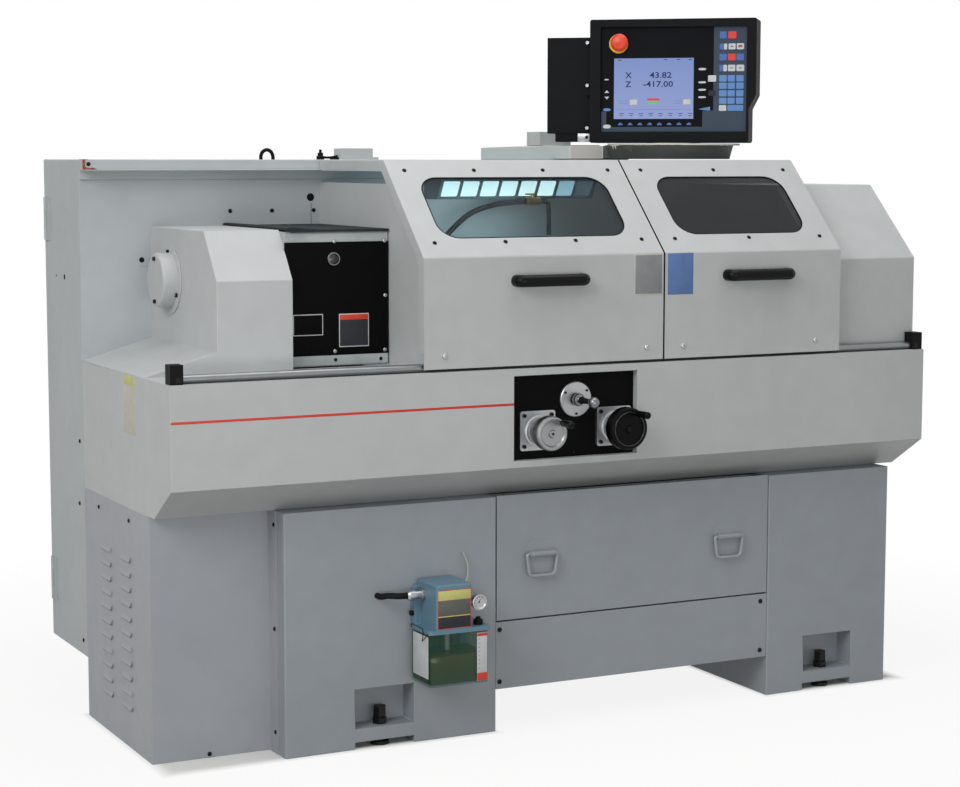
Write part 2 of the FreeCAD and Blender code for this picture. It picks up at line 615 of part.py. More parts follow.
def front_cover():
    wall = "sheetWall"
    right = "machineLength"
    foot = "pedestalTop"
    back, tuck, low, top = "coverFlangeBack", "coverTuck", "coverLow", "coverTop"
    sheet_line = [
        (back, top), ("0", top), ("0", low), (tuck, foot), ("coverFootBack", foot),
        ("coverFootBack", f"{foot} + {wall}"), (f"{tuck} + 1", f"{foot} + {wall}"),
        (wall, f"{low} + 1"), (wall, f"{top} - {wall}"), (back, f"{top} - {wall}"),
    ]
    body = prism("cover", "YZ", "0", right, sheet_line)
    left_end = [("0.5", top), ("0.5", low), (tuck, foot), ("coverFootBack", foot),
                ("coverFootBack", top)]
    pad(body, "YZ", "0", wall, left_end)
    right_end = [("0.5", top), ("0.5", low), (tuck, foot), ("rearPlane", foot),
                 ("rearPlane", top)]
    pad(body, "YZ", f"{right} - {wall}", wall, right_end)
    aperture = rectangle("apertureLeft", "apertureRight", "apertureLow", "apertureHigh")
    ring = rectangle(f"apertureLeft - {wall}", f"apertureRight + {wall}",
                     f"apertureLow - {wall}", f"apertureHigh + {wall}")
    pad(body, "XZ", "0.5", "apertureDeep - 0.5", ring)
    pocket(body, "XZ", "-1", "apertureDeep + 2", aperture)
    return keep(body, "front_cover")


def control_plate():
    margin = "sheetWall"
    plate = prism("plate", "XZ", "apertureDeep", "plateThick",
                  rectangle(f"apertureLeft - {margin}", f"apertureRight + {margin}",
                            f"apertureLow - {margin}", f"apertureHigh + {margin}"))
    holes = [(x, "wheelHigh", "wheelShaft + 1") for x in ("leftWheelAt", "rightWheelAt")]
    holes.append(("joystickAt", "joystickHigh", "joystickBore + 1"))
    pocket(plate, "XZ", "apertureDeep - 1", "plateThick + 2", *holes)
    return keep(plate, "control_plate")


def control_flanges():
    front = "apertureDeep - flangeThick"
    half = "flangeSide / 2"
    flanges = []
    for x in ("leftWheelAt", "rightWheelAt"):
        square = prism("flange", "XZ", front, "flangeThick",
                       rectangle(f"{x} - {half}", f"{x} + {half}", f"wheelHigh - {half}",
                                 f"wheelHigh + {half}"))
        round_edges(square, "6", lambda a, b: abs(a.y - b.y) > 1)
        hub = turned("hub", "-y", x, front, "wheelHigh", [
            ("-1", "wheelShaft + slideGap"), ("-1", "hubRadius + 4"), ("6", "hubRadius + 4"),
            ("8", "hubRadius"), ("16", "hubRadius"), ("17", "hubRadius - 3"),
            ("20", "hubRadius - 3"), ("21", "hubRadius"), ("hubLong", "hubRadius"),
            ("hubLong", "wheelShaft + slideGap"),
        ])
        shaft_hole = bar("shaftHole", "y", x, f"{front} - 1", "wheelHigh",
                         "wheelShaft + slideGap", "flangeThick + 2")
        flanges.append(fuse("housing", cut("flangeBored", square, shaft_hole), hub))
    disc = turned("disc", "-y", "joystickAt", "apertureDeep", "joystickHigh", [
        ("0", "joystickBore"), ("0", "joystickFlange"), ("flangeThick - 2", "joystickFlange"),
        ("flangeThick", "joystickFlange - 2"), ("flangeThick", "joystickBore"),
    ])
    sockets = bar("sockets", "z", "joystickAt", "apertureDeep - flangeThick / 2",
                  "joystickHigh - joystickBore - 5", "pinRadius + runGap",
                  "joystickBore * 2 + 10")
    flanges.append(cut("joystickDisc", disc, sockets))
    return keep(group("flanges", *flanges), "control_flanges")


def handwheel(label, x, radius, grip_out, grip_angle):
    """A dished wheel on a shaft, with its crank grip at grip_angle above level."""
    front = "wheelFace"
    body = turned("wheel", "-y", x, "0", "wheelHigh", [
        ("-apertureDeep - plateThick", "0"), ("-apertureDeep - plateThick", "wheelShaft"),
        ("wheelBack", "wheelShaft"), ("wheelBack", f"{radius} - 5"),
        ("wheelBack + 3", radius), (f"{front} - wheelRim", radius),
        (f"{front} - 2", f"{radius} - 2"), (front, f"{radius} - 5"),
        (front, f"{radius} - 9"), (f"{front} - 4", f"{radius} - 12"), (f"{front} - 4", "10"),
        (front, "8"), (front, "0"),
    ])
    cosine = round(math.cos(math.radians(grip_angle)), 4)
    sine = round(math.sin(math.radians(grip_angle)), 4)
    grip = turned("grip", "-y", f"{x} + {grip_out} * {cosine}", "0",
                  f"wheelHigh + {grip_out} * {sine}", [
        (f"{front} - 6", "0"), (f"{front} - 6", "gripRadius - 2"),
        (f"{front} + 3", "gripRadius - 2"), (f"{front} + 6", "gripRadius"),
        ("gripReach - 4", "gripRadius + 1"), ("gripReach", "gripRadius - 2"),
        ("gripReach", "0"),
    ])
    return keep(fuse("crank", body, grip), label)


def joystick():
    pivot = "apertureDeep - flangeThick / 2"
    half = "gimbalThick / 2"
    ring = turned("ring", "-y", "joystickAt", f"{pivot} + {half}", "joystickHigh", [
        ("0", "gimbalInner"), ("0", "gimbalOuter"), ("gimbalThick", "gimbalOuter"),
        ("gimbalThick", "gimbalInner"),
    ])
    cross_hole = bar("crossHole", "x", "joystickAt - gimbalOuter - 1", pivot, "joystickHigh",
                     "pinRadius + runGap", "gimbalOuter * 2 + 2")
    pins = []
    for z in ("joystickHigh - joystickBore - 4", "joystickHigh + gimbalInner + 1"):
        pins.append(bar("gimbalPin", "z", "joystickAt", pivot, z, "pinRadius",
                        "joystickBore + 3 - gimbalInner"))
    keep(fuse("gimbal", cut("gimbalRing", ring, cross_hole), *pins), "joystick_gimbal")
    lever = turned("lever", "-y", "joystickAt", "apertureDeep + plateThick", "joystickHigh", [
        ("0", "0"), ("0", "leverRadius"),
        ("17", "leverRadius"), ("17", "gimbalOuter + 2"), ("24", "gimbalOuter + 2"),
        ("28", "gimbalOuter"), ("30", "gimbalOuter - 3"), ("34", "gimbalOuter - 3"),
        ("36", "8"), ("70", "leverRadius"),
        ("apertureDeep + plateThick + knobReach", "4"),
        ("apertureDeep + plateThick + knobReach", "0"),
    ])
    knob = ball("knob", "joystickAt", "-knobReach", "joystickHigh", "knobRadius")
    pin = bar("leverPin", "x", "joystickAt - gimbalOuter + 1", pivot, "joystickHigh",
              "pinRadius", "gimbalOuter * 2 - 2")
    keep(fuse("stick", lever, knob, pin), "joystick")


# ---- drawer ----

def lower_front_panel():
    left, right = "leftPedRight + panelGap", "rightPedLeft - panelGap"
    wall = "sheetWall"
    front = "drawerFront"
    back = f"{front} + panelReturn"
    outline = [
        (left, back), (left, front), (right, front), (right, back),
        (f"{right} - {wall}", back), (f"{right} - {wall}", f"{front} + {wall}"),
        (f"{left} + {wall}", f"{front} + {wall}"), (f"{left} + {wall}", back),
    ]
    body = prism("lowerPanel", "XY", "panelLow", "panelHigh - panelLow", outline)
    shelf = block("topReturn", left, right, front, back, f"panelHigh - {wall}", "panelHigh")
    upstand = block("upstand", f"{left} + {wall}", f"{right} - {wall}", f"{back} - {wall}",
                    back, f"panelHigh - {wall}", "(drawerLow + boxLow) / 2")
    return keep(fuse("panelParts", body, shelf, upstand), "lower_front_panel")


def drawer():
    wall = "sheetWall"
    left, right = "leftPedRight + seam", "rightPedLeft - seam"
    front = "drawerFront"
    face = block("drawerFace", left, right, front, f"{front} + drawerThick", "drawerLow",
                 "drawerHigh")
    box_left, box_right = "leftPedRight + boxInset", "rightPedLeft - boxInset"
    box_front = f"{front} + drawerThick"
    outer = block("drawerBox", box_left, box_right, box_front, "boxBack", "boxLow", "boxHigh")
    inner = block("drawerInside", f"{box_left} + {wall}", f"{box_right} - {wall}",
                  f"{box_front} + {wall}", f"boxBack - {wall}", f"boxLow + {wall}",
                  "boxHigh + 1")
    pieces = [face, cut("drawerShell", outer, inner)]
    rail_low = "runnerHigh + runnerThick + slideGap"
    rail_reach = "(boxInset - runnerThick - 1)"
    for x0, x1 in ((f"{box_left} - {rail_reach}", box_left),
                   (box_right, f"{box_right} + {rail_reach}")):
        pieces.append(block("slideRail", x0, x1, f"{box_front} + 8", "boxBack", rail_low,
                            f"{rail_low} + drawerRail"))
    pivot = f"{front} - earDeep + bailRadius"
    for x in ("bailLeftAt", "bailRightAt"):
        plate = [(-38, -28), (-30, -36), (30, -36), (38, -28), (38, 20), (26, 32), (-26, 32),
                 (-38, 20)]
        pieces.append(prism("bailPlate", "XZ", f"{front} - 1.5", "1.5 + drawerThick / 2",
                            [(f"{x} + {u}", f"bailHigh + {v}") for u, v in plate]))
        ends = (f"{x} - sleeveHalf", f"{x} + sleeveHalf")
        sleeve = bar("sleeve", "x", ends[0], pivot, "bailHigh", "sleeveRadius",
                     "sleeveHalf * 2")
        curl = block("curl", *ends, pivot, front, "bailHigh", "bailHigh + sleeveRadius")
        bore = bar("sleeveBore", "x", f"{ends[0]} - 1", pivot, "bailHigh",
                   "bailRadius + runGap", "sleeveHalf * 2 + 2")
        pieces.append(cut("hinge", fuse("sleeveParts", sleeve, curl), bore))
    return keep(fuse("drawerParts", *pieces), "drawer")


def drawer_bail(label, x):
    """A wire bail whose two ends turn inwards into the sleeve on the drawer."""
    y = "drawerFront - earDeep + bailRadius"
    low = "bailHigh - bailDrop"
    corners = [
        (f"{x} - bailEnd", y, "bailHigh"), (f"{x} - bailHalf", y, "bailHigh"),
        (f"{x} - bailFoot", y, low), (f"{x} + bailFoot", y, low),
        (f"{x} + bailHalf", y, "bailHigh"), (f"{x} + bailEnd", y, "bailHigh"),
    ]
    bends = ["bailRadius + 0.5", "bailBend", "bailBend", "bailRadius + 0.5"]
    return keep(tube("bail", corners, "bailRadius", bends), label)


# ---- guards ----

def guard_outline(inset, low):
    """The guards' front, slope and top, moved inwards by inset; returns front to back."""
    diagonal = f"({inset}) * 0.4142"
    rise = "(guardTop - doorKink)"
    return [
        (f"doorFront + {inset}", low),
        (f"doorFront + {inset}", f"doorKink - {diagonal}"),
        (f"doorFront + {rise} + {diagonal}", f"guardTop - ({inset})"),
        ("doorRearEdge", f"guardTop - ({inset})"),
    ]


def rounded_cutter(name, left, right, grow, thick):
    """A rounded plate on the guards' slope, grown by grow beyond the window."""
    body = doc.addObject("PartDesign::Body", name)
    sketch = sketch_on(body, "XY", "0")
    up = "((windowHigh - windowLow) * 1.4142)"
    draw_loop(sketch, rectangle(f"-({grow})", f"({right}) - ({left}) + {grow}",
                                f"-({grow})", f"{up} + {grow}"))
    feature = body.newObject("PartDesign::Pad", name + "Pad")
    feature.Profile = sketch
    bind(feature, "Length", thick)
    doc.recompute()
    round_edges(body, f"windowCorner + {grow}", lambda a, b: abs(a.z - b.z) > 1)
    return body


def on_slope(body, left, grow_depth):
    """Turns a plate to the slope, its face grow_depth below the guards' skin."""
    drop = f"({grow_depth}) * 0.7071"
    return place(body, left, f"doorFront + windowLow - doorKink + {drop}",
                 f"windowLow - {drop}", Rotation(Vector(1, 0, 0), 45))


def guard(label, left, right, window_left, window_right, rollers, lip_at, lip):
    wall = "sheetWall"
    outer = guard_outline("0", "doorLow")
    inner = guard_outline(wall, "doorLow")
    hem = [("doorRearEdge", "guardTop"), ("doorRearEdge", "guardTop - doorHem"),
           (f"doorRearEdge - {wall}", "guardTop - doorHem"),
           (f"doorRearEdge - {wall}", f"guardTop - {wall}")]
    skin = prism("guard", "YZ", left, f"{right} - ({left})",
                 outer[:3] + hem + inner[2::-1])
    lip_outer = guard_outline("0.5", "lipLow")
    lip_inner = guard_outline(lip, "lipLow")
    pad(skin, "YZ", lip_at, wall, lip_outer + lip_inner[::-1])
    window = on_slope(rounded_cutter("window", window_left, window_right, "0", "12"),
                      window_left, "6")
    ledge_way = block("ledgeWay", f"{lip_at} - 1", f"{lip_at} + {wall} + 1",
                      "ledgeFront - slideGap", "doorRearEdge + 1", "guardTop - 60",
                      "rearLipLow + slideGap")
    pieces = [cut("guardSkin", skin, window, ledge_way)]
    for x in rollers:
        axle = bar("axle", "y", x, f"doorFront + {wall} / 2", "rollerHigh", "rollerAxle",
                   f"rollerFront + rollerThick + 1 - doorFront - {wall} / 2")
        groove = "rollerHigh - railHigh - railRadius - slideGap"
        flange = f"{groove} + 3"
        wheel = turned("roller", "+y", x, "rollerFront", "rollerHigh", [
            ("0", "0"), ("0", flange), ("2", flange), ("5", groove),
            ("rollerThick - 5", groove), ("rollerThick - 2", flange), ("rollerThick", flange),
            ("rollerThick", "0"),
        ])
        pieces.append(fuse("rollerSet", axle, wheel))
    return keep(fuse("guardParts", *pieces), label)


def guard_pane(label, left, right):
    pane = rounded_cutter("pane", left, right, "paneLap", "paneThick")
    return keep(on_slope(pane, left, "sheetWall + paneThick"), label)


def guard_handle(label, left, right):
    """A handle of fat round bar whose two ends turn back into the door."""
    y = "doorFront - handleProud + handleRadius"
    ends = (f"{left} + handleRadius", f"{right} - handleRadius")
    corners = [(ends[0], "doorFront", "handleHigh"), (ends[0], y, "handleHigh"),
               (ends[1], y, "handleHigh"), (ends[1], "doorFront", "handleHigh")]
    return keep(tube("handle", corners, "handleRadius", "handleRadius + 1"), label)


def guards():
    left_edge, left_end = "leftDoorLeft", "doorSeam"
    right_edge, right_end = "doorSeam + doorSeamGap", "rightDoorRight"
    guard("left_door", left_edge, left_end, "leftWindowLeft", "leftWindowRight",
          [f"{left_edge} + rollerInset", f"{left_end} - rollerSeamInset"], left_edge, "leftLip")
    guard_pane("left_window", "leftWindowLeft", "leftWindowRight")
    guard_handle("left_door_handle", "leftHandleLeft", "leftHandleRight")
    guard("right_door", right_edge, right_end, "rightWindowLeft", "rightWindowRight",
          [f"{right_edge} + rollerInset + 3", f"{right_end} - rightRollerInset"],
          f"{right_end} - sheetWall", "rightLip")
    guard_pane("right_window", "rightWindowLeft", "rightWindowRight")
    guard_handle("right_door_handle", "rightHandleLeft", "rightHandleRight")


def door_rail():
    start = "blockInset + blockLong"
    rail = bar("rail", "x", start, "railBack", "railHigh", "railRadius",
               f"machineLength - 2 * ({start})")
    keep(rail, "door_rail")
    ends = []
    for x in ("blockInset", "machineLength - blockInset - blockLong"):
        ends.append(block("railBlock", x, f"{x} + blockLong", "blockFront", "blockBack",
                          "coverTop", "blockHigh"))
    keep(group("railBlocks", *ends), "rail_end_blocks")


# ---- rear cabinet ----

def rear_cabinet():
    wall = "sheetWall"
    right = "machineLength"
    seam_back = "rearDepth - doorPan"
    body = prism("rearCabinet", "XY", "cabinetLow", "guardTop - cabinetLow",
                 rectangle("0", right, "rearPlane", seam_back))
    inside = rectangle(wall, f"{right} - {wall}", f"cabinetLow + {wall}", f"guardTop - {wall}")
    pocket(body, "XZ", f"rearPlane + {wall}", f"{seam_back} - rearPlane", inside)
    lip = [
        ("rearPlane + 1", "guardTop"), ("rearLipFront", "guardTop"),
        ("rearLipFront", "rearLipLow"), ("ledgeFront", "rearLipLow"),
        ("ledgeFront", f"rearLipLow - {wall}"), ("rearBandFront", f"rearLipLow - {wall}"),
        ("rearBandFront", "rearBandLow"), ("rearPlane + 1", "rearBandLow"),
    ]
    pad(body, "YZ", "0", right, lip)
    cable_hole = ("headRight - 22", "rearBandLow - 45", "9")
    pocket(body, "XZ", "rearPlane - 1", f"{wall} + 2", cable_hole)
    hinges = []
    for low in ("upperHingeLow", "lowerHingeLow"):
        third = "hingeTall / 3"
        leaf = block("leaf", "-leafThick", "0", f"{seam_back} - leafWide - 5",
                     f"{seam_back} - 5", low, f"{low} + hingeTall")
        pieces = [leaf]
        for z in (low, f"{low} + 2 * {third}"):
            pieces.append(block("leafTab", "-leafThick", "0", f"{seam_back} - 6",
                                f"{seam_back} - 1", z, f"{z} + {third} - slideGap"))
            pieces.append(bar("knuckle", "z", "-hingeKnuckle", seam_back, z, "hingeKnuckle",
                              f"{third} - slideGap"))
        pieces.append(bar("hingePin", "z", "-hingeKnuckle", seam_back, low, "hingePin",
                          "hingeTall"))
        hinges.append(fuse("hinge", *pieces))
    return keep(group("rearCabinetParts", body, *hinges), "rear_cabinet")


def rear_door():
    wall = "sheetWall"
    right = "machineLength"
    seam_back = "rearDepth - doorPan"
    front = f"{seam_back} + slideGap"
    body = prism("rearDoor", "XY", "cabinetLow", "guardTop - cabinetLow",
                 rectangle("0", right, front, "rearDepth"))
    pocket(body, "XZ", f"{front} - 1", f"doorPan - {wall} + 1 - slideGap",
           rectangle(wall, f"{right} - {wall}", f"cabinetLow + {wall}", f"guardTop - {wall}"))
    pieces = [body]
    for low in ("upperHingeLow", "lowerHingeLow"):
        middle = f"{low} + hingeTall / 3 + slideGap"
        tall = "hingeTall / 3 - 2 * slideGap"
        knuckle = bar("doorKnuckle", "z", "-hingeKnuckle", seam_back, middle, "hingeKnuckle",
                      tall)
        bore = bar("doorKnuckleBore", "z", "-hingeKnuckle", seam_back, f"{middle} - 1",
                   "hingePin + runGap", f"{tall} + 2")
        leaf = block("doorLeaf", "-leafThick", "0.5", f"{seam_back} + 5", "rearDepth - 1",
                     low, f"{low} + hingeTall")
        tab = block("doorLeafTab", "-leafThick", "0", f"{seam_back} + 1",
                    f"{seam_back} + 6", middle, f"{middle} + {tall}")
        pieces.append(cut("doorHinge", fuse("doorHingeSolid", knuckle, tab, leaf), bore))
    return keep(fuse("rearDoorParts", *pieces), "rear_door")


def drive_modules():
    """The back plate with the spindle drive, two axis drives, a transformer and terminals."""
    wall_face = "rearPlane + sheetWall"
    plate_front = f"{wall_face} + standOff"
    plate_back = f"{plate_front} + 3"
    pieces = [block("backPlate", "backPlateLeft", "backPlateRight", plate_front, plate_back,
                    "backPlateLow", "backPlateHigh")]
    for x in ("backPlateLeft + 40", "backPlateRight - 60"):
        for z in ("backPlateLow + 40", "backPlateHigh - 60"):
            pieces.append(block("spacer", x, f"{x} + 20", wall_face, plate_front, z,
                                f"{z} + 20"))
    modules = [(120, 220, 640, 250, 150), (400, 90, 660, 230, 140), (510, 90, 660, 230, 140),
               (700, 160, 120, 150, 120), (120, 420, 180, 60, 60), (980, 260, 560, 240, 70)]
    for x, wide, z, tall, deep in modules:
        pieces.append(block("module", f"backPlateLeft + {x}", f"backPlateLeft + {x + wide}",
                            plate_back, f"{plate_back} + {deep}", f"backPlateLow + {z}",
                            f"backPlateLow + {z + tall}"))
    return keep(fuse("driveRack", *pieces), "drive_modules")


# ---- headstock, spindle and chuck ----

def headstock():
    front, back, top = "headFront", "headBack", "headTop"
    outline = [(back, "wayTop")]
    outline += vee_notch("rearVeeAt", "wayTop", "slideGap")
    outline += vee_notch("frontVeeAt", "wayTop", "slideGap")
    outline += [
        ("bedFront", "wayTop"), ("bedFront", "headFoot"), (f"{front} - 3", "headFoot"),
        (f"{front} - 3", "headPanelLow - 0.5"), (front, "headPanelLow - 0.5"), (front, top),
        (back, top),
    ]
    body = prism("headstock", "YZ", "headLeft", "headRight - headLeft", outline)
    round_edges(body, "headEdge", lambda a, b: min(a.z, b.z) > number(top) - 1
                and abs(a.x - b.x) > 1 and a.y < number(front) + 1)
    pocket(body, "YZ", "headLeft", "headRight - headLeft",
           ("spindleBack", "spindleHigh", "spindleJournal + runGap"))
    sight = ("sightAt", "sightHigh", "sightRadius")
    pocket(body, "XZ", f"{front} - 1", "9", sight)
    keep(body, "headstock")
    panel = prism("headPanel", "XZ", f"{front} - 3", "3",
                  rectangle("headLeft", "headRight", "headPanelLow", "headPanelHigh"))
    pocket(panel, "XZ", f"{front} - 4", "5", sight)
    keep(panel, "headstock_panel")


def headstock_mat():
    mat = [("headLeft + 12", "headTop"), ("headRight", "headTop"),
           ("headRight", "headTop + matThick"), ("headLeft + 90", "headTop + matThick"),
           ("headLeft + 12", "headTop + matThick + 6"), ("headLeft + 4", "headTop + 9"),
           ("headLeft + 4", "headTop + 5")]
    body = prism("mat", "XZ", "headFront - 7", "headBack - headFront + 7", mat)
    return keep(body, "headstock_mat")


def headstock_shield():
    outline = [
        ("shieldFront", "coverTop"),
        ("shieldFront", "doorKink + shieldFront - doorFront - shieldInset"),
        ("shieldTop + doorFront + shieldInset - doorKink", "shieldTop"),
        ("rearPlane", "shieldTop"), ("rearPlane", "headFoot"), ("coverFlangeBack", "headFoot"),
        ("coverFlangeBack", "coverTop"),
    ]
    body = prism("shield", "YZ", "shieldLeft", "shieldThick", outline)
    pocket(body, "YZ", "shieldLeft", "shieldThick",
           ("spindleBack", "spindleHigh", "shieldHole"))
    return keep(body, "headstock_shield")


def spindle():
    """Hollow spindle with its belt pulley at the tail and the chuck seat at the nose."""
    left = "spindleLeft"
    pulley = "beltLeft - pulleyFlange"
    body = turned("spindle", "+x", "0", "spindleBack", "spindleHigh", [
        (left, "spindleBore"), (left, "spindleTail"), (pulley, "spindleTail"),
        (pulley, "spindlePulley + pulleyLip"), ("beltLeft - 1", "spindlePulley + pulleyLip"),
        ("beltLeft - 1", "spindlePulley"), ("beltLeft + beltWide + 1", "spindlePulley"),
        ("beltLeft + beltWide + 1", "spindlePulley + pulleyLip"),
        ("beltLeft + beltWide + pulleyFlange", "spindlePulley + pulleyLip"),
        ("beltLeft + beltWide + pulleyFlange", "spindleJournal"),
        ("noseLeft", "spindleJournal"), ("noseLeft", "noseRadius"),
        ("chuckLeft", "noseRadius"), ("chuckLeft", "spindleBore"),
    ])
    return keep(body, "spindle")


def around_spindle(obj, angle):
    """Turns a piece that is drawn upright about the spindle axis."""
    return place(obj, "0", "spindleBack", "spindleHigh", Rotation(Vector(1, 0, 0), angle))


def chuck():
    left, right = "chuckLeft", "chuckRight"
    body = turned("chuck", "+x", "0", "0", "0", [
        (left, "chuckBore"), (left, "chuckRadius - 4"), (f"{left} + 4", "chuckRadius"),
        (f"{left} + 26", "chuckRadius"), (f"{left} + 28", "chuckRadius - 2"),
        (f"{left} + 32", "chuckRadius - 2"), (f"{left} + 34", "chuckRadius"),
        (f"{right} - 4", "chuckRadius"), (right, "chuckRadius - 4"), (right, "chuckBore"),
    ])
    neck = "jawNeck / 2 + slideGap"
    wide = "jawWide / 2 + slideGap"
    neck_cut = pocket(body, "XY", "0", "chuckRadius + 1",
                      rectangle(f"{right} - jawNeckDeep - 1", f"{right} + 1", f"-({neck})",
                                neck))
    wide_cut = pocket(body, "XY", "0", "chuckRadius + 1",
                      rectangle(f"{right} - jawSlot", f"{right} - jawNeckDeep", f"-({wide})",
                                wide))
    pattern = body.newObject("PartDesign::PolarPattern", "chuckSlots")
    pattern.Originals = [neck_cut, wide_cut]
    pattern.Axis = (neck_cut.Profile[0], ["H_Axis"])
    pattern.Angle = 360
    pattern.Occurrences = 3
    body.Tip = pattern
    doc.recompute()
    return keep(around_spindle(body, 0), "chuck")


def chuck_jaw(number_of_jaw):
    """A stepped jaw on a tee-shaped foot; radius runs along Z before it is turned."""
    right = "chuckRight"
    gap = "slideGap"
    inner, outer = "jawReach", "jawReach + jawBase"
    foot = [(f"{right} - jawSlot + {gap}", inner), (f"{right} - jawNeckDeep - {gap}", inner),
            (f"{right} - jawNeckDeep - {gap}", outer), (f"{right} - jawSlot + {gap}", outer)]
    body = doc.addObject("PartDesign::Body", "jaw")
    pad(body, "XZ", "-jawWide / 2", "jawWide", foot)
    neck = rectangle(f"{right} - jawNeckDeep - {gap} - 1", f"{right} + {gap} + 1", inner,
                     outer)
    pad(body, "XZ", "-jawNeck / 2", "jawNeck", neck)
    steps = [(f"{right} + {gap}", inner)]
    for step in range(3):
        face = f"{right} + {gap} + jawRise * {3 - step}"
        steps.append((face, inner if step == 0 else f"{inner} + jawStep * {step}"))
        steps.append((face, f"{inner} + jawStep * {step + 1}"))
    steps.append((f"{right} + {gap}", f"{inner} + jawStep * 3"))
    pad(body, "XZ", "-jawWide / 2", "jawWide", steps)
    angle = 120 * (number_of_jaw - 1)
    return keep(around_spindle(body, angle), f"jaw_{number_of_jaw}")


# ---- belt drive ----

def drive_motor():
    end = "motorRight - motorLeft"
    shell = turned("motor", "+x", "motorLeft", "motorBack", "motorHigh", [
        ("0", "0"), ("0", "motorRadius - 16"), ("8", "motorRadius - 6"),
        ("30", "motorRadius - 6"), ("30", "motorRadius"), (f"{end} - 24", "motorRadius"),
        (f"{end} - 24", "motorRadius - 8"), (f"{end} - 10", "motorRadius - 8"),
        (end, "motorRadius - 40"), (end, "motorShaft + runGap"),
        (f"{end} - 22", "motorShaft + runGap"), (f"{end} - 22", "0"),
    ])
    fins = []
    for step in range(12):
        fin = block("fin", "motorLeft + 34", "motorRight - 28", "motorBack - 1.5",
                    "motorBack + 1.5", "motorHigh", "motorHigh + motorRadius + 8")
        fin.Placement = Placement(Vector(), Rotation(Vector(1, 0, 0), 30 * step))
        angle = math.radians(30 * step)
        side, lift = round(1.5 * math.cos(angle), 4), round(1.5 * math.sin(angle), 4)
        place(fin, "motorLeft + 34", f"motorBack - {side}", f"motorHigh - {lift}")
        fins.append(fin)
    plate_top = "motorPlateLow + 10"
    plate = block("motorPlate", "motorLeft", "leftPedLeft", "motorBack - 100",
                  "motorBack + 100", "motorPlateLow", plate_top)
    feet = [block("motorFoot", "motorLeft + 34", "motorRight - 28", f"motorBack {side} 62 - 12",
                  f"motorBack {side} 62 + 12", plate_top, "motorHigh") for side in "-+"]
    terminal = block("terminalBox", "motorLeft + 46", "motorLeft + 116", "motorBack - 45",
                     "motorBack + 45", "motorHigh + motorRadius - 8",
                     "motorHigh + motorRadius + 42")
    solid = fuse("motorSolid", shell, plate, terminal, *fins, *feet)
    shaft = bar("shaftRoom", "x", "motorRight - 22", "motorBack", "motorHigh",
                "motorShaft + runGap", "23")
    return keep(cut("motorParts", solid, shaft), "drive_motor")


def motor_pulley():
    pulley = "beltLeft - pulleyFlange"
    right = "beltLeft + beltWide + pulleyFlange"
    body = turned("motorPulley", "+x", "0", "motorBack", "motorHigh", [
        ("motorRight - 20", "0"), ("motorRight - 20", "motorShaft"), (pulley, "motorShaft"),
        (pulley, "motorPulley + pulleyLip"), ("beltLeft - 1", "motorPulley + pulleyLip"),
        ("beltLeft - 1", "motorPulley"), ("beltLeft + beltWide + 1", "motorPulley"),
        ("beltLeft + beltWide + 1", "motorPulley + pulleyLip"),
        (right, "motorPulley + pulleyLip"), (right, "0"),
    ])
    return keep(body, "motor_pulley")


def drive_belt():
    """A flat loop round both pulleys, from the tangent lines of two circles."""
    upper = Vector(0, number("spindleBack"), number("spindleHigh"))
    lower = Vector(0, number("motorBack"), number("motorHigh"))
    span = upper - lower
    lean = math.atan2(span.y, span.z)
    start = number("beltLeft")

    def loop(extra):
        big = number("spindlePulley") + extra
        small = number("motorPulley") + extra
        tilt = math.asin((big - small) / span.Length)

        def at(centre, radius, angle):
            return centre + Vector(start, radius * math.sin(angle), radius * math.cos(angle))

        right = lean + math.pi / 2 + tilt
        left = lean - math.pi / 2 - tilt
        edges = [
            Part.LineSegment(at(lower, small, right), at(upper, big, right)).toShape(),
            Part.Arc(at(upper, big, right), at(upper, big, lean), at(upper, big, left)).toShape(),
            Part.LineSegment(at(upper, big, left), at(lower, small, left)).toShape(),
            Part.Arc(at(lower, small, left), at(lower, small, lean + math.pi),
                     at(lower, small, right)).toShape(),
        ]
        return Part.Face(Part.Wire(edges)).extrude(Vector(number("beltWide"), 0, 0))

    gap = number("slideGap")
    belt = doc.addObject("Part::Feature", "belt")
    belt.Shape = loop(gap + number("beltThick")).cut(loop(gap))
    return keep(place(belt, "0", "0", "0"), "drive_belt")


# ---- carriage, cross slide and tool post ----

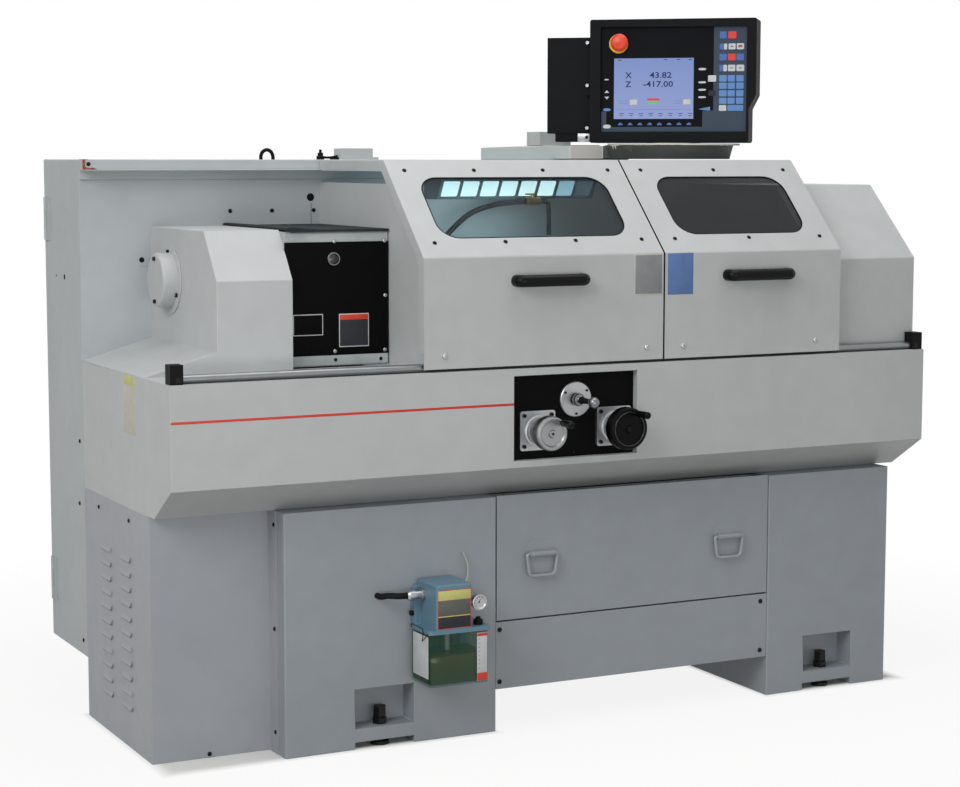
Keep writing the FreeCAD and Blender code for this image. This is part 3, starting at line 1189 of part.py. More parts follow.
def carriage():
    """An H-shaped saddle on the ways with a dovetail across it and the apron in front."""
    left, right = "saddleLeft", "saddleLeft + saddleLong"
    level = "wayTop + slideGap"
    outline = [("saddleBack", level)]
    outline += vee_notch("rearVeeAt", level, "slideGap")
    outline += vee_notch("frontVeeAt", level, "slideGap")
    outline += [("saddleFront", level), ("saddleFront", "saddleTop"),
                ("saddleBack", "saddleTop")]
    body = prism("saddle", "YZ", left, "saddleLong", outline)
    for x0, x1 in ((f"{left} - 1", f"{left} + bridgeInset"),
                   (f"{right} - bridgeInset", f"{right} + 1")):
        pocket(body, "XY", f"{level} - 1", "saddleTop - wayTop + 2",
               rectangle(x0, x1, "saddleFront + wingDeep + 30", "saddleBack - wingDeep - 24"))
    middle = f"({left} + {right}) / 2"
    half = "dovetailWide / 2"
    dovetail = [(f"{middle} - {half}", "saddleTop - 1"), (f"{middle} + {half}", "saddleTop - 1"),
                (f"{middle} + {half}", "saddleTop"),
                (f"{middle} + {half} + dovetailSpread", "saddleTop + dovetailDeep"),
                (f"{middle} - {half} - dovetailSpread", "saddleTop + dovetailDeep"),
                (f"{middle} - {half}", "saddleTop")]
    pad(body, "XZ", "saddleFront", "saddleBack - saddleFront", dovetail)
    apron = rectangle(left, right, "apronLow", "saddleTop")
    pad(body, "XZ", "apronFront", "apronBack - apronFront", apron)
    pocket(body, "YZ", f"{left} - 1", "saddleLong + 2",
           ("screwBack", "screwHigh", "screwRadius + slideGap"))
    return keep(body, "carriage")


def cross_slide():
    middle = "saddleLeft + saddleLong / 2"
    half = "dovetailWide / 2 + slideGap * 1.5"
    low = "saddleTop + slideGap"
    roof = "saddleTop + dovetailDeep + slideGap"
    side = "slideWide / 2"
    outline = [
        (f"{middle} - {side}", low), (f"{middle} - ({half})", low),
        (f"{middle} - ({half}) - dovetailSpread", roof),
        (f"{middle} + {half} + dovetailSpread", roof), (f"{middle} + {half}", low),
        (f"{middle} + {side}", low), (f"{middle} + {side}", "slideTop"),
        (f"{middle} - {side}", "slideTop"),
    ]
    body = prism("crossSlide", "XZ", "slideFront", "slideLong", outline)
    for x in (f"{middle} - 34", f"{middle} + 22"):
        pocket(body, "XZ", "slideFront - 1", "slideLong + 2",
               rectangle(x, f"{x} + 12", "slideTop - 9", "slideTop + 1"))
    return keep(body, "cross_slide")


def tool_post():
    """A quick-change post with a holder and turning tool on its chuck side, and its lever."""
    x = "saddleLeft + saddleLong / 2"
    half = "postSide / 2"
    low = "slideTop + slideGap"
    body = prism("post", "XY", low, "spindleHigh + 6 - slideTop",
                 rectangle(f"{x} - {half}", f"{x} + {half}", f"postBack - {half}",
                           f"postBack + {half}"))
    round_edges(body, "5", lambda a, b: abs(a.z - b.z) > 40)
    holder_left = f"{x} - {half} - postHolder"
    holder = block("holder", holder_left, f"{x} - {half}", f"postBack - {half}",
                   f"postBack + {half}", "spindleHigh - toolSide - 34", "spindleHigh + 12")
    slot = block("toolSlot", f"{holder_left} - 1", f"{holder_left} + toolSide",
                 f"postBack - {half} - 1", f"postBack + {half} + 1",
                 "spindleHigh - toolSide", "spindleHigh + 2")
    shank = block("toolShank", holder_left, f"{holder_left} + toolSide",
                  f"postBack - {half} - 14", "postBack + toolReach", "spindleHigh - toolSide",
                  "spindleHigh + 0.5")
    stem = bar("clampStem", "z", x, "postBack", "spindleHigh + 5", "14", "22")
    arm = tube("clampArm", [(x, "postBack", "spindleHigh + 18"),
                            (f"{x} + 40", "postBack - 24", "spindleHigh + 22"),
                            (f"{x} + 74", "postBack - 44", "spindleHigh + 44")], "5")
    knob = ball("clampKnob", f"{x} + 78", "postBack - 46", "spindleHigh + 47", "11")
    solid = fuse("postParts", body, cut("holderSlotted", holder, slot), shank, stem, arm, knob)
    return keep(solid, "tool_post")


def lead_screw():
    shoulder = "bedLeft + bearingLong + 1"
    end = "bedRight - bearingLong - 1"
    body = turned("leadScrew", "+x", "0", "screwBack", "screwHigh", [
        ("bedLeft", "0"), ("bedLeft", "screwEnd"), (shoulder, "screwEnd"),
        (shoulder, "screwRadius"), (end, "screwRadius"), (end, "screwEnd"),
        ("bedRight + 12", "screwEnd"), ("bedRight + 12", "0"),
    ])
    return keep(body, "lead_screw")


# ---- tailstock ----

def tailstock():
    level = "wayTop + slideGap"
    outline = [("tailBack", level)]
    outline += vee_notch("rearVeeAt", level, "slideGap")
    outline += [
        ("tailFront", level), ("tailFront", "tailBaseHigh - 16"),
        ("spindleBack - 70", "tailBaseHigh"), ("spindleBack - tailWebHalf", "tailBaseHigh + 30"),
        ("spindleBack - tailWebHalf", "spindleHigh - 20"),
        ("spindleBack + tailWebHalf", "spindleHigh - 20"),
        ("spindleBack + tailWebHalf", "tailBaseHigh + 30"),
        ("spindleBack + 84", "tailBaseHigh"), ("tailBack", "tailBaseHigh - 16"),
    ]
    body = prism("tailBody", "YZ", "tailLeft", "tailLong", outline)
    pad(body, "YZ", "tailLeft - 14", "tailLong + 14",
        ("spindleBack", "spindleHigh", "tailBarrel"))
    pocket(body, "YZ", "tailLeft - 15", "tailLong - 8",
           ("spindleBack", "spindleHigh", "quillRadius + runGap"))
    pocket(body, "YZ", "tailLeft", "tailLong + 1",
           ("spindleBack", "spindleHigh", "tailScrew + slideGap"))
    lever_x = "tailLeft + 44"
    lever = fuse("quillLock", bar("lockBoss", "z", lever_x, "spindleBack",
                                  "spindleHigh + tailBarrel - 8", "10", "22"),
                 tube("lockArm", [(lever_x, "spindleBack", "spindleHigh + tailBarrel + 8"),
                                  (f"{lever_x} + 20", "spindleBack - 30",
                                   "spindleHigh + tailBarrel + 20"),
                                  (f"{lever_x} + 34", "spindleBack - 56",
                                   "spindleHigh + tailBarrel + 44")], "4.5"),
                 ball("lockKnob", f"{lever_x} + 36", "spindleBack - 58",
                      "spindleHigh + tailBarrel + 47", "9"))
    return keep(fuse("tailParts", body, lever), "tailstock")


def quill():
    tip = "tailLeft - 14 - quillOut - centreLong"
    body = turned("quill", "+x", "0", "spindleBack", "spindleHigh", [
        (tip, "0"), ("tailLeft - 14 - quillOut - 6", "13"),
        ("tailLeft - 14 - quillOut - 6", "18"), ("tailLeft - 14 - quillOut", "18"),
        ("tailLeft - 14 - quillOut", "quillRadius - 3"),
        ("tailLeft - 11 - quillOut", "quillRadius"), ("tailLeft + quillIn", "quillRadius"),
        ("tailLeft + quillIn", "tailScrew + 2"), ("tailLeft + 20", "tailScrew + 2"),
        ("tailLeft + 20", "0"),
    ])
    return keep(body, "quill")


def tailstock_wheel():
    end = "tailLeft + tailLong"
    face = f"{end} + tailWheelGap"
    body = turned("tailWheel", "+x", "0", "spindleBack", "spindleHigh", [
        ("tailLeft + 30", "0"), ("tailLeft + 30", "tailScrew"), (f"{end} + 2", "tailScrew"),
        (f"{end} + 2", "20"), (f"{face} - 4", "20"), (face, "tailWheelRadius - 16"),
        (f"{face} - 4", "tailWheelRadius - 8"), (f"{face} - 4", "tailWheelRadius"),
        (f"{face} + tailWheelThick - 4", "tailWheelRadius"),
        (f"{face} + tailWheelThick - 4", "tailWheelRadius - 10"),
        (f"{face} + 8", "tailWheelRadius - 16"), (f"{face} + 8", "24"),
        (f"{face} + tailWheelThick", "20"), (f"{face} + tailWheelThick", "0"),
    ])
    handle = turned("tailGrip", "+x", "0", "spindleBack - 50", "spindleHigh - 42", [
        (f"{face} - 2", "0"), (f"{face} - 2", "5"), (f"{face} + 22", "6"),
        (f"{face} + 56", "9"), (f"{face} + 62", "6"), (f"{face} + 62", "0"),
    ])
    return keep(fuse("tailWheelParts", body, handle), "tailstock_wheel")


def tail_cover():
    wall = "sheetWall"
    left, right = "tailCoverLeft", "machineLength"
    low, back = "coverTop", "rearPlane"
    front, kink, top = "tailCoverFront", "tailCoverKink", "tailCoverTop"
    outer = [(front, low), (front, kink), ("tailCoverTopFront", top), (back, top), (back, low)]
    inner = [(f"{front} + {wall}", f"{low} - 1"), (f"{front} + {wall}", f"{kink} - 1"),
             (f"tailCoverTopFront + 1", f"{top} - {wall}"), (f"{back} + 1", f"{top} - {wall}"),
             (f"{back} + 1", f"{low} - 1")]
    body = prism("tailCover", "YZ", left, f"{right} - {left}", outer)
    pocket(body, "YZ", f"{left} - 1", f"{right} - {left} - {wall} + 1", inner)
    return keep(body, "tail_cover")


# ---- lamp, coolant line, lubricator ----

def work_lamp():
    """A lamp under the rear lip whose leaning front is a grille of cells."""
    left, right = "lampLeft", "lampRight"
    body = prism("lamp", "YZ", left, f"{right} - {left}", [
        ("lampFront", "lampLow"), ("rearPlane", "lampLow"), ("rearPlane", "lampHigh"),
        ("lampFront - lampLean", "lampHigh"),
    ])
    pitch = f"(({right} - {left} - lampRim) / lampCells)"
    cell = rectangle(f"{left} + lampRim", f"{left} + {pitch}", "lampLow + lampSill",
                     "lampHigh - lampBrow")
    cells = pocket(body, "XZ", "lampFront - lampLean - 1", "lampLean + lampRim + 1", cell)
    repeat(body, [cells], "H_Axis", pitch, "lampCells")
    return keep(body, "work_lamp")


def coolant_line():
    """A hose from the rear wall up to a valve, and the nozzle that hangs from it."""
    y = "hoseBack"
    hose = tube("hose", [
        ("900", "rearPlane", "1085"), ("900", "615", "1085"), ("908", "580", "1118"),
        ("938", y, "1165"), ("992", y, "1208"), ("1062", y, "1228"), ("1150", y, "1234"),
    ], "hoseRadius")
    valve = fuse("valve", bar("valveBody", "x", "1150", y, "1234", "hoseRadius + 3", "40"),
                 bar("valveStem", "z", "1170", y, "1234", "5", "18"),
                 block("valveLever", "1150", "1176", f"{y} - 4", f"{y} + 4", "1250", "1254"),
                 bar("bracket", "y", "1170", y, "1234", "5.7", f"rearPlane - {y}"))
    nozzle = tube("nozzle", [("1190", y, "1234"), ("1216", y, "1234"), ("1218", y, "1200"),
                             ("1218", y, "1146")], "hoseRadius - 1")
    return keep(fuse("coolant", hose, valve, nozzle), "coolant_line")


def lubricator():
    left, right, front, back = "oilLeft", "oilRight", "oilFront", "oilBack"
    wall = "oilWall"
    tank = prism("tank", "XY", "oilLow", "oilHigh - oilLow", rectangle(left, right, front, back))
    round_edges(tank, "8", lambda a, b: abs(a.z - b.z) > 40)
    pocket(tank, "XY", f"oilLow + {wall}", "oilHigh - oilLow",
           rectangle(f"{left} + {wall}", f"{right} - {wall}", f"{front} + {wall}",
                     f"{back} - {wall}"))
    keep(tank, "lube_reservoir")
    lid = prism("lid", "XY", "oilHigh", "lidHigh - oilHigh",
                rectangle(f"{left} - 3", f"{right} + 3", f"{front} - 3", f"{back} + 2"))
    round_edges(lid, "9", lambda a, b: abs(a.z - b.z) > 4)
    pump = prism("pump", "XY", "lidHigh", "pumpHigh - lidHigh",
                 rectangle("pumpLeft", "pumpRight", "pumpFront", back))
    round_edges(pump, "pumpEdge", lambda a, b: max(a.z, b.z) > number("pumpHigh") - 1)
    mount = prism("pumpMount", "XZ", "pedestalFront - pumpBacking", "pumpBacking",
                  rectangle("pumpLeft - 14", "pumpRight - 6", "lidHigh - 2", "pumpHigh - 12"))
    round_edges(mount, "14", lambda a, b: abs(a.y - b.y) > 10
                and a.z > number("pumpHigh") - 14)
    keep(fuse("pumpParts", lid, pump, mount), "lube_pump")
    gauge = turned("gauge", "-y", "gaugeAt", "pumpFront + 26", "gaugeHigh", [
        ("0", "0"), ("0", "gaugeRadius - 2"), ("12", "gaugeRadius"), ("16", "gaugeRadius"),
        ("18", "gaugeRadius - 2"), ("16", "gaugeRadius - 4"), ("16", "0"),
    ])
    gauge_stem = bar("gaugeStem", "x", "pumpRight", "pumpFront + 18", "gaugeHigh", "4", "11")
    filler = turned("fillerCap", "+z", "gaugeAt + 4", "pumpFront + 24", "lidHigh", [
        ("0", "0"), ("0", "capSize"), ("10", "capSize"), ("12", "capSize - 2"),
        ("12", "capSize - 5"), ("17", "capSize - 5"), ("19", "0"),
    ])
    gland_y = "pumpFront + 66"
    gland = turned("gland", "-x", "pumpLeft", gland_y, "356", [
        ("0", "0"), ("0", "13"), ("8", "13"), ("8", "10"), ("26", "10"), ("26", "12"),
        ("38", "12"), ("42", "9"), ("44", "conduitRadius + 1"), ("44", "0"),
    ])
    plug = bar("sidePlug", "x", "pumpLeft - 21", "pumpFront + 96", "308", "6", "7")
    conduit = tube("conduit", [
        ("pumpLeft - 43", gland_y, "356"), ("pumpLeft - 62", gland_y, "356"),
        ("pumpLeft - 84", "pedestalFront - 30", "357"),
        ("pumpLeft - 97", "pedestalFront - 18", "353"), ("pumpLeft - 97", "pedestalFront", "353"),
    ], "conduitRadius")
    oil_tube = tube("oilTube", [
        ("pumpRight", "oilBack - 18", "pumpHigh - 34"),
        ("pumpRight + 8", "oilBack - 18", "pumpHigh - 34"),
        ("pumpRight + 24", "oilBack - 14", "pumpHigh - 26"),
        ("pumpRight + 37", "oilBack - 10", "pumpHigh - 6"),
        ("pumpRight + 38", "oilBack - 8", "pumpHigh + 26"),
        ("pumpRight + 28", "pedestalFront - 8", "pumpHigh + 50"),
        ("pumpRight + 28", "pedestalFront", "pumpHigh + 50"),
    ], "2")
    keep(group("fittings", fuse("gaugeParts", gauge, gauge_stem), filler,
               fuse("glandParts", gland, conduit), plug, oil_tube), "lube_fittings")


# ---- pendant ----

def pendant_place(obj):
    """Puts a piece drawn about the swivel axis, facing forward, at its turned place."""
    return place(obj, "pendantAt", "pendantBack", "0",
                 Rotation(Vector(0, 0, 1), -number("pendantTurn")))


def pendant_body(name, plane, start, depth, *loops):
    body = doc.addObject("PartDesign::Body", name)
    pad(body, plane, start, depth, *loops)
    return body


def pendant():
    half, low, high = "pendantWide / 2", "pendantLow", "pendantHigh"
    front, deep = "-pendantDeep / 2", "pendantDeep"
    right = f"{half} + bezelRight"
    outline = [
        (f"-{half}", low), (f"{right} - notchWide", low), (f"{right} - notchWide", "notchLow"),
        (right, "notchTop"), (right, high), (f"-{half}", high),
    ]
    case = pendant_body("case", "XZ", front, deep, outline)
    round_edges(case, "6", lambda a, b: abs(a.y - b.y) > 20)
    window = rectangle("faceShift - faceWide / 2", "faceShift + faceWide / 2", "faceLow",
                       "faceHigh")
    pocket(case, "XZ", f"{front} - 1", "faceSink + faceThick + 1", window)
    pocket(case, "XY", low, "16", ("0", "0", "spigotRadius + runGap"))
    pocket(case, "XZ", front, "40", ("stopAt", "stopHigh", "stopRadius - 6"))
    box_left, box_right = f"-{half} - sideBoxWide", f"-{half}"
    side = pendant_body("sideBox", "XY", "sideBoxLow", "sideBoxHigh - sideBoxLow",
                        rectangle(box_left, box_right, "-sideBoxDeep / 2 + 20",
                                  "sideBoxDeep / 2 + 20"))
    round_edges(side, "8", lambda a, b: abs(a.z - b.z) > 40 and a.x < number(box_left) + 1)
    bracket = pendant_body("bracket", "XY", f"{low} + 3", f"sideBoxLow - {low} - 2",
                           rectangle(f"{box_left} + 22", f"{box_right} + 1",
                                     "-sideBoxDeep / 2 + 24", "sideBoxDeep / 2 + 14"))
    fittings = []
    for z in ("sideBoxLow + 14", "(sideBoxLow + sideBoxHigh) / 2 - 20", "sideBoxHigh - 14"):
        fitting = doc.addObject("Part::Cylinder", "fitting")
        fitting.Radius = 7
        fitting.Height = 12
        fitting.Placement = Placement(Vector(), alongY)
        bind(fitting, "Placement.Base.x", f"{box_right} - 9")
        bind(fitting, "Placement.Base.y", "-sideBoxDeep / 2 + 9")
        bind(fitting, "Placement.Base.z", z)
        fittings.append(fitting)
    whole = fuse("caseParts", case, side, bracket, *fittings)
    keep(pendant_place(whole), "pendant_case")
    face = pendant_body("face", "XZ", f"{front} + faceSink", "faceThick", window)
    screen = rectangle("screenAt - screenWide / 2", "screenAt + screenWide / 2", "screenLow",
                       "screenHigh")
    pocket(face, "XZ", f"{front} + faceSink - 1", "faceThick", screen)
    pocket(face, "XZ", f"{front} + faceSink - 1", "faceThick + 2",
           ("stopAt", "stopHigh", "stopRadius - 9"))
    keep(pendant_place(face), "pendant_face")
    button = turned("stop", "-y", "0", "0", "0", [
        ("pendantDeep / 2 - faceSink - faceThick - 10", "0"),
        ("pendantDeep / 2 - faceSink - faceThick - 10", "stopRadius - 10"),
        ("pendantDeep / 2 - faceSink + stopTravel + 1", "stopRadius - 10"),
        ("pendantDeep / 2 - faceSink + stopTravel + 1", "stopRadius"),
        ("pendantDeep / 2 - faceSink + stopTravel + 6", "stopRadius"),
        ("pendantDeep / 2 - faceSink + stopTravel + 12", "stopRadius - 7"),
        ("pendantDeep / 2 - faceSink + stopTravel + 14", "0"),
    ])
    turn = Rotation(Vector(0, 0, 1), -number("pendantTurn"))
    angle = math.radians(number("pendantTurn"))
    along, across = round(math.cos(angle), 5), round(math.sin(angle), 5)
    place(button, f"pendantAt + stopAt * {along}", f"pendantBack - stopAt * {across}",
          "stopHigh", turn.multiply(turnedTo["-y"]))
    keep(button, "estop_button")


def pendant_mount():
    """Blocks on the cabinet top, an arm over the guards and a tapered turntable."""
    foot = "guardTop"
    left, right, back = "armBlockLeft", "armBlockRight", "armBlockFront + 124"
    link = prism("link", "XY", foot, "armBlockHigh + 2 - guardTop", [
        (left, "armBlockFront"), ("armLeft + 2", "armFront + 4"),
        ("armRight - 6", "armFront + 4"), (right, "armBlockFront"), (right, back),
        (f"{left} + linkFoot", back),
    ])
    slope = prism("linkTop", "XZ", "armFront - 5", f"{back} - armFront + 10",
                  [(f"{left} - 5", "armBlockHigh - 8"), (f"{right} + 5", "armBlockHigh + 1"),
                   (f"{right} + 5", "armBlockHigh + 20"), (f"{left} - 5", "armBlockHigh + 20")])
    under = block("linkUnder", f"{left} - 5", f"{right} + 5", "armFront - 5", "rearLipFront",
                  f"{foot} - 1", "drumLow")
    blocks = cut("armLink", link, slope, under)
    duct = block("duct", "ductLeft", "armBlockRight + 28", "armBlockFront + 50",
                 "armBlockFront + 124", "armBlockHigh - 1", "ductHigh")
    arm = doc.addObject("PartDesign::Body", "arm")
    place(arm, "0", "0", "0")
    pad(arm, "XY", foot, "armHigh - guardTop", [
        ("armLeft", "armBlockFront + 10"), ("armLeft", "armFront"), ("armRight", "armFront"),
        ("pendantAt - 120", "pendantBack"), ("pendantAt - 60", "pendantBack + 100"),
        ("armBlockRight - 4", "rearPlane + 60"), ("armBlockRight - 4", "armBlockFront + 10"),
    ])
    pocket(arm, "XY", foot, "drumLow - guardTop", rectangle("armLeft - 10", "pendantAt + 10",
                                             "pendantBack - 10", "rearLipFront"))
    drum = taper("drum", "z", "pendantAt - drumShift", "pendantBack", "drumLow", "drumRadius",
                 "drumTopRadius", "drumHigh - drumLow")
    lid = bar("drumPlate", "z", "pendantAt", "pendantBack", "drumHigh - 0.5",
              "drumTopRadius + 5", "drumPlate + 0.5")
    table = bar("turntable", "z", "pendantAt", "pendantBack", "drumHigh - 1", "70",
                "turntableTop - drumHigh + 1")
    spigot = bar("spigot", "z", "pendantAt", "pendantBack", "drumHigh", "spigotRadius",
                 "pendantLow + 14 - drumHigh")
    return keep(fuse("mountParts", blocks, duct, arm, drum, lid, table, spigot), "pendant_mount")


def interlock_switch():
    top = "guardTop"
    base = block("lockBase", "lockLeft", "lockRight", "rearPlane", "rearPlane + 60", top,
                 f"{top} + 6")
    case = prism("lockCase", "XZ", "rearPlane + 8", "44",
                 [("lockLeft + 8", f"{top} + 5"), ("lockRight - 12", f"{top} + 5"),
                  ("lockRight - 12", "lockHigh"), ("lockLeft + 8", "lockHigh")])
    round_edges(case, "2", lambda a, b: abs(a.y - b.y) > 20 and min(a.z, b.z) > number(top) + 9)
    middle, y = "lockLeft - 38", "rearPlane + 30"
    gland = turned("gland", "+z", middle, y, top, [
        ("0", "0"), ("0", "10"), ("9", "10"), ("9", "7"), ("17", "7"), ("17", "3.5"),
        ("25", "3.5"), ("25", "0"),
    ])
    lead = tube("switchLead", [(middle, y, f"{top} + 6"), ("lockLeft - 12", y, f"{top} + 4.5"),
                               ("lockLeft + 10", y, f"{top} + 9")], "3")
    loop = tube("cableLoop", [
        ("471", "rearPlane + 30", top), ("471", "rearPlane + 30", f"{top} + 10"),
        ("476", "rearPlane + 30", f"{top} + 20"), ("487", "rearPlane + 30", f"{top} + 25"),
        ("498", "rearPlane + 30", f"{top} + 20"), ("503", "rearPlane + 30", f"{top} + 10"),
        ("503", "rearPlane + 30", top),
    ], "4.5")
    return keep(group("lockParts", fuse("lock", base, case, gland, lead), loop), "interlock_switch")


# ---- build ----

pedestal("left_pedestal", "leftPedLeft", "leftPedRight", "leftPocketLeft")
pedestal("right_pedestal", "rightPedLeft", "rightPedRight", "rightPocketLeft")
levelling_screws()
bed()
chip_tray()
end_cabinet()
left_end_panel()
end_cover()
front_cover()
control_plate()
control_flanges()
handwheel("left_handwheel", "leftWheelAt", "leftWheelRadius", "leftGripOut", 48)
handwheel("right_handwheel", "rightWheelAt", "rightWheelRadius", "rightGripOut", 60)
joystick()
lower_front_panel()
drawer()
drawer_bail("left_bail", "bailLeftAt")
drawer_bail("right_bail", "bailRightAt")
guards()
door_rail()
rear_cabinet()
rear_door()
drive_modules()
headstock()
headstock_mat()
headstock_shield()
spindle()
chuck()
for jaw_number in (1, 2, 3):
    chuck_jaw(jaw_number)
drive_motor()
motor_pulley()
drive_belt()
carriage()
cross_slide()
tool_post()
lead_screw()
tailstock()
quill()
tailstock_wheel()
tail_cover()
work_lamp()
coolant_line()
lubricator()
pendant()
pendant_mount()
interlock_switch()
doc.recompute()

faults = [f"{obj.Label}: {obj.State}" for obj in doc.Objects
          if "Invalid" in obj.State or "Error" in obj.State]
for node in nodes:
    if node.Shape.isNull() or not node.Shape.isValid() or not node.Shape.Solids:
        faults.append(f"{node.Label}: no sound solid")
if faults:
    raise ValueError("; ".join(faults))
for node in nodes:
    node.Shape.exportStep(f"parts/{node.Label}.step")
whole = Part.makeCompound([node.Shape for node in nodes])
box = whole.BoundBox
print(len(nodes), "nodes", f"{box.XLength:.1f} x {box.YLength:.1f} x {box.ZLength:.1f}")
print(f"centre {box.Center.x:.2f} {box.Center.y:.2f} low {box.ZMin:.2f}")
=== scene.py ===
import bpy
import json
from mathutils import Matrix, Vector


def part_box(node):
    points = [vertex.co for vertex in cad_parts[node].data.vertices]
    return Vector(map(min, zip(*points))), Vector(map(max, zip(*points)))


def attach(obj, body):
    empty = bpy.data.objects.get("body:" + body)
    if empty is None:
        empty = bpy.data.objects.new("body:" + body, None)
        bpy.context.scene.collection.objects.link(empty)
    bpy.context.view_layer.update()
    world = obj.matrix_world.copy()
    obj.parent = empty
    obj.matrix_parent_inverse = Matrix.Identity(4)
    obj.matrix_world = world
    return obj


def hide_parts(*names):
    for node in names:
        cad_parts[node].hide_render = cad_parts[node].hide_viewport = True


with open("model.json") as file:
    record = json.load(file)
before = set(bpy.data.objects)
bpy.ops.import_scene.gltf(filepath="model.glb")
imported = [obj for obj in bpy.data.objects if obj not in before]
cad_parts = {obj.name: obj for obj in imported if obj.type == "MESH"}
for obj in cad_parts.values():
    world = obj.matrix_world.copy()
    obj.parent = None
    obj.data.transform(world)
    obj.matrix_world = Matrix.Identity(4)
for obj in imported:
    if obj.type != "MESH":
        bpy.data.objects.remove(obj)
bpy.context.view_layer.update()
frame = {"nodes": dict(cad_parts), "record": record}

import json
import math

import bmesh
import bpy
from mathutils import Matrix, Vector

print("frame loaded:", len(frame["nodes"]), "nodes")

machineZero = {"x": 996, "y": 416}  # the part's origin, in mm from the left face and the front cover
bodyOf = {node: body for body, members in frame["record"]["behaviour"]["bodies"].items() for node in members}


def at(x, y, z):  # a point of the machine, in mm from its left face, front cover and floor
    return Vector(((x - machineZero["x"]) / 1000, (y - machineZero["y"]) / 1000, z / 1000))


def mm(x, y, z):
    return Vector((x, y, z)) / 1000


def spread(radius, angles):  # steps from a centre to the places at these angles
    return [(radius * math.cos(math.radians(angle)), radius * math.sin(math.radians(angle))) for angle in angles]


def turned(degrees, axis):
    return Matrix.Rotation(math.radians(degrees), 4, axis)


def tone(colour, factor=1.0):  # a colour as it looks, 0 to 255, to the renderer's own scale, times a factor
    def linear(value):
        value /= 255
        return value / 12.92 if value <= 0.04045 else ((value + 0.055) / 1.055) ** 2.4
    return tuple(min(1.0, linear(part) * factor) for part in colour) + (1.0,)


def linked(name, data):  # a new object in the scene
    made = bpy.data.objects.new(name, data)
    bpy.context.collection.objects.link(made)
    return made


def drawn(holder):  # the mesh that a curve or a modified object comes to; its object goes
    bpy.context.view_layer.update()
    mesh = bpy.data.meshes.new_from_object(holder.evaluated_get(bpy.context.evaluated_depsgraph_get()))
    bpy.data.objects.remove(holder)
    return mesh


# node graphs

class Value:  # one socket that can stand in a Python expression
    def __init__(self, graph, socket):
        self.graph, self.socket = graph, socket

    def maths(self, operation, *others):
        return self.graph.node("ShaderNodeMath", dict(enumerate((self, *others))), operation=operation)

    def __add__(self, other):
        return self.maths("ADD", other)

    def __sub__(self, other):
        return self.maths("SUBTRACT", other)

    def __mul__(self, other):
        return self.maths("MULTIPLY", other)

    def __gt__(self, other):
        return self.maths("GREATER_THAN", other)

    __radd__, __rmul__ = __add__, __mul__

    def clamped(self):
        return self.maths("MAXIMUM", 0.0).maths("MINIMUM", 1.0)


class Graph:
    def __init__(self, tree):
        self.tree = tree

    def node(self, kind, values=None, out=0, **settings):
        made = self.tree.nodes.new(kind)
        for key, setting in settings.items():
            setattr(made, key, setting)
        for key, value in (values or {}).items():
            if isinstance(value, Value):
                self.tree.links.new(value.socket, made.inputs[key])
            else:
                made.inputs[key].default_value = value
        return Value(self, made.outputs[out])


class Finish(Graph):
    def __init__(self, name, colour, roughness=0.5, **fixed):
        self.material = bpy.data.materials.new(name)
        self.material.use_nodes = True
        super().__init__(self.material.node_tree)
        self.tree.nodes.clear()
        self.shader = self.tree.nodes.new("ShaderNodeBsdfPrincipled")
        self.surface = self.tree.nodes.new("ShaderNodeOutputMaterial").inputs["Surface"]
        self.tree.links.new(self.shader.outputs[0], self.surface)
        self.place = self.node("ShaderNodeTexCoord", out="Object")
        self.painted(Base_Color=tone(colour), Roughness=roughness, **fixed)

    def painted(self, **sockets):  # Base_Color stands for the socket Base Color
        for key, value in sockets.items():
            socket = self.shader.inputs[key.replace("_", " ")]
            if isinstance(value, Value):
                self.tree.links.new(value.socket, socket)
            else:
                socket.default_value = value
        return self.material

    def along(self, axis):  # the distance along one axis, in mm
        split = self.node("ShaderNodeSeparateXYZ", {0: self.place}, axis)
        return split * 1000

    def grain(self, size, detail=2.0, stretch=(1, 1, 1), rough=0.5):  # noise whose blobs are size mm wide
        place = self.place
        if stretch != (1, 1, 1):
            place = self.node("ShaderNodeMapping", {"Vector": place, "Scale": stretch})
        return self.node("ShaderNodeTexNoise",
                         {"Vector": place, "Scale": 1000 / size, "Detail": detail, "Roughness": rough}, "Fac")

    def blend(self, first, second, amount):
        return self.node("ShaderNodeMix", {0: amount, 6: first, 7: second}, 2, data_type="RGBA")

    def level(self, value, low, high, bottom=0.0, top=1.0):
        return self.node("ShaderNodeMapRange", {0: value, 1: low, 2: high, 3: bottom, 4: top})

    def relief(self, height, depth):  # depth in mm
        return self.node("ShaderNodeBump", {"Height": height, "Distance": depth / 1000, "Strength": 1.0})


# finishes

def powderCoat(name, colour, roughness=0.42, darkening=0.08, peel=0.012, gloss=0.5):
    made = Finish(name, colour, Specular_IOR_Level=gloss)
    drift = made.grain(420, 3) * 0.6 + made.grain(60, 2) * 0.4
    body = made.blend(tone(colour, 0.93), tone(colour, 1.05), made.level(drift, 0.3, 0.7))
    # darker in patches towards the bottom, fading out at 620 mm above the floor
    low = made.level(made.along("Z"), 0.0, 620.0, 1.0, 0.0) * made.grain(90, 4, rough=0.65)
    marks = made.level(made.grain(23, 5, (1, 1, 0.35), 0.7), 0.66, 0.8) * 0.35
    darkened = made.blend(body, tone(colour, 0.72), (low * darkening * 2 + marks * darkening).clamped())
    return made.painted(Base_Color=darkened, Roughness=roughness + made.grain(35, 3) * 0.14,
                        Normal=made.relief(made.grain(1.6, 1), peel))


def castPaint(name, colour, roughness=0.5):
    made = Finish(name, colour)
    body = made.blend(tone(colour, 0.86), tone(colour, 1.08), made.level(made.grain(70, 4), 0.3, 0.7))
    chips = made.grain(9, 5, rough=0.75) > 0.73
    return made.painted(Base_Color=made.blend(body, tone(colour, 0.6), chips * 0.5),
                        Roughness=roughness + made.grain(18, 3) * 0.18,
                        Normal=made.relief(made.grain(5, 4, rough=0.6), 0.12))


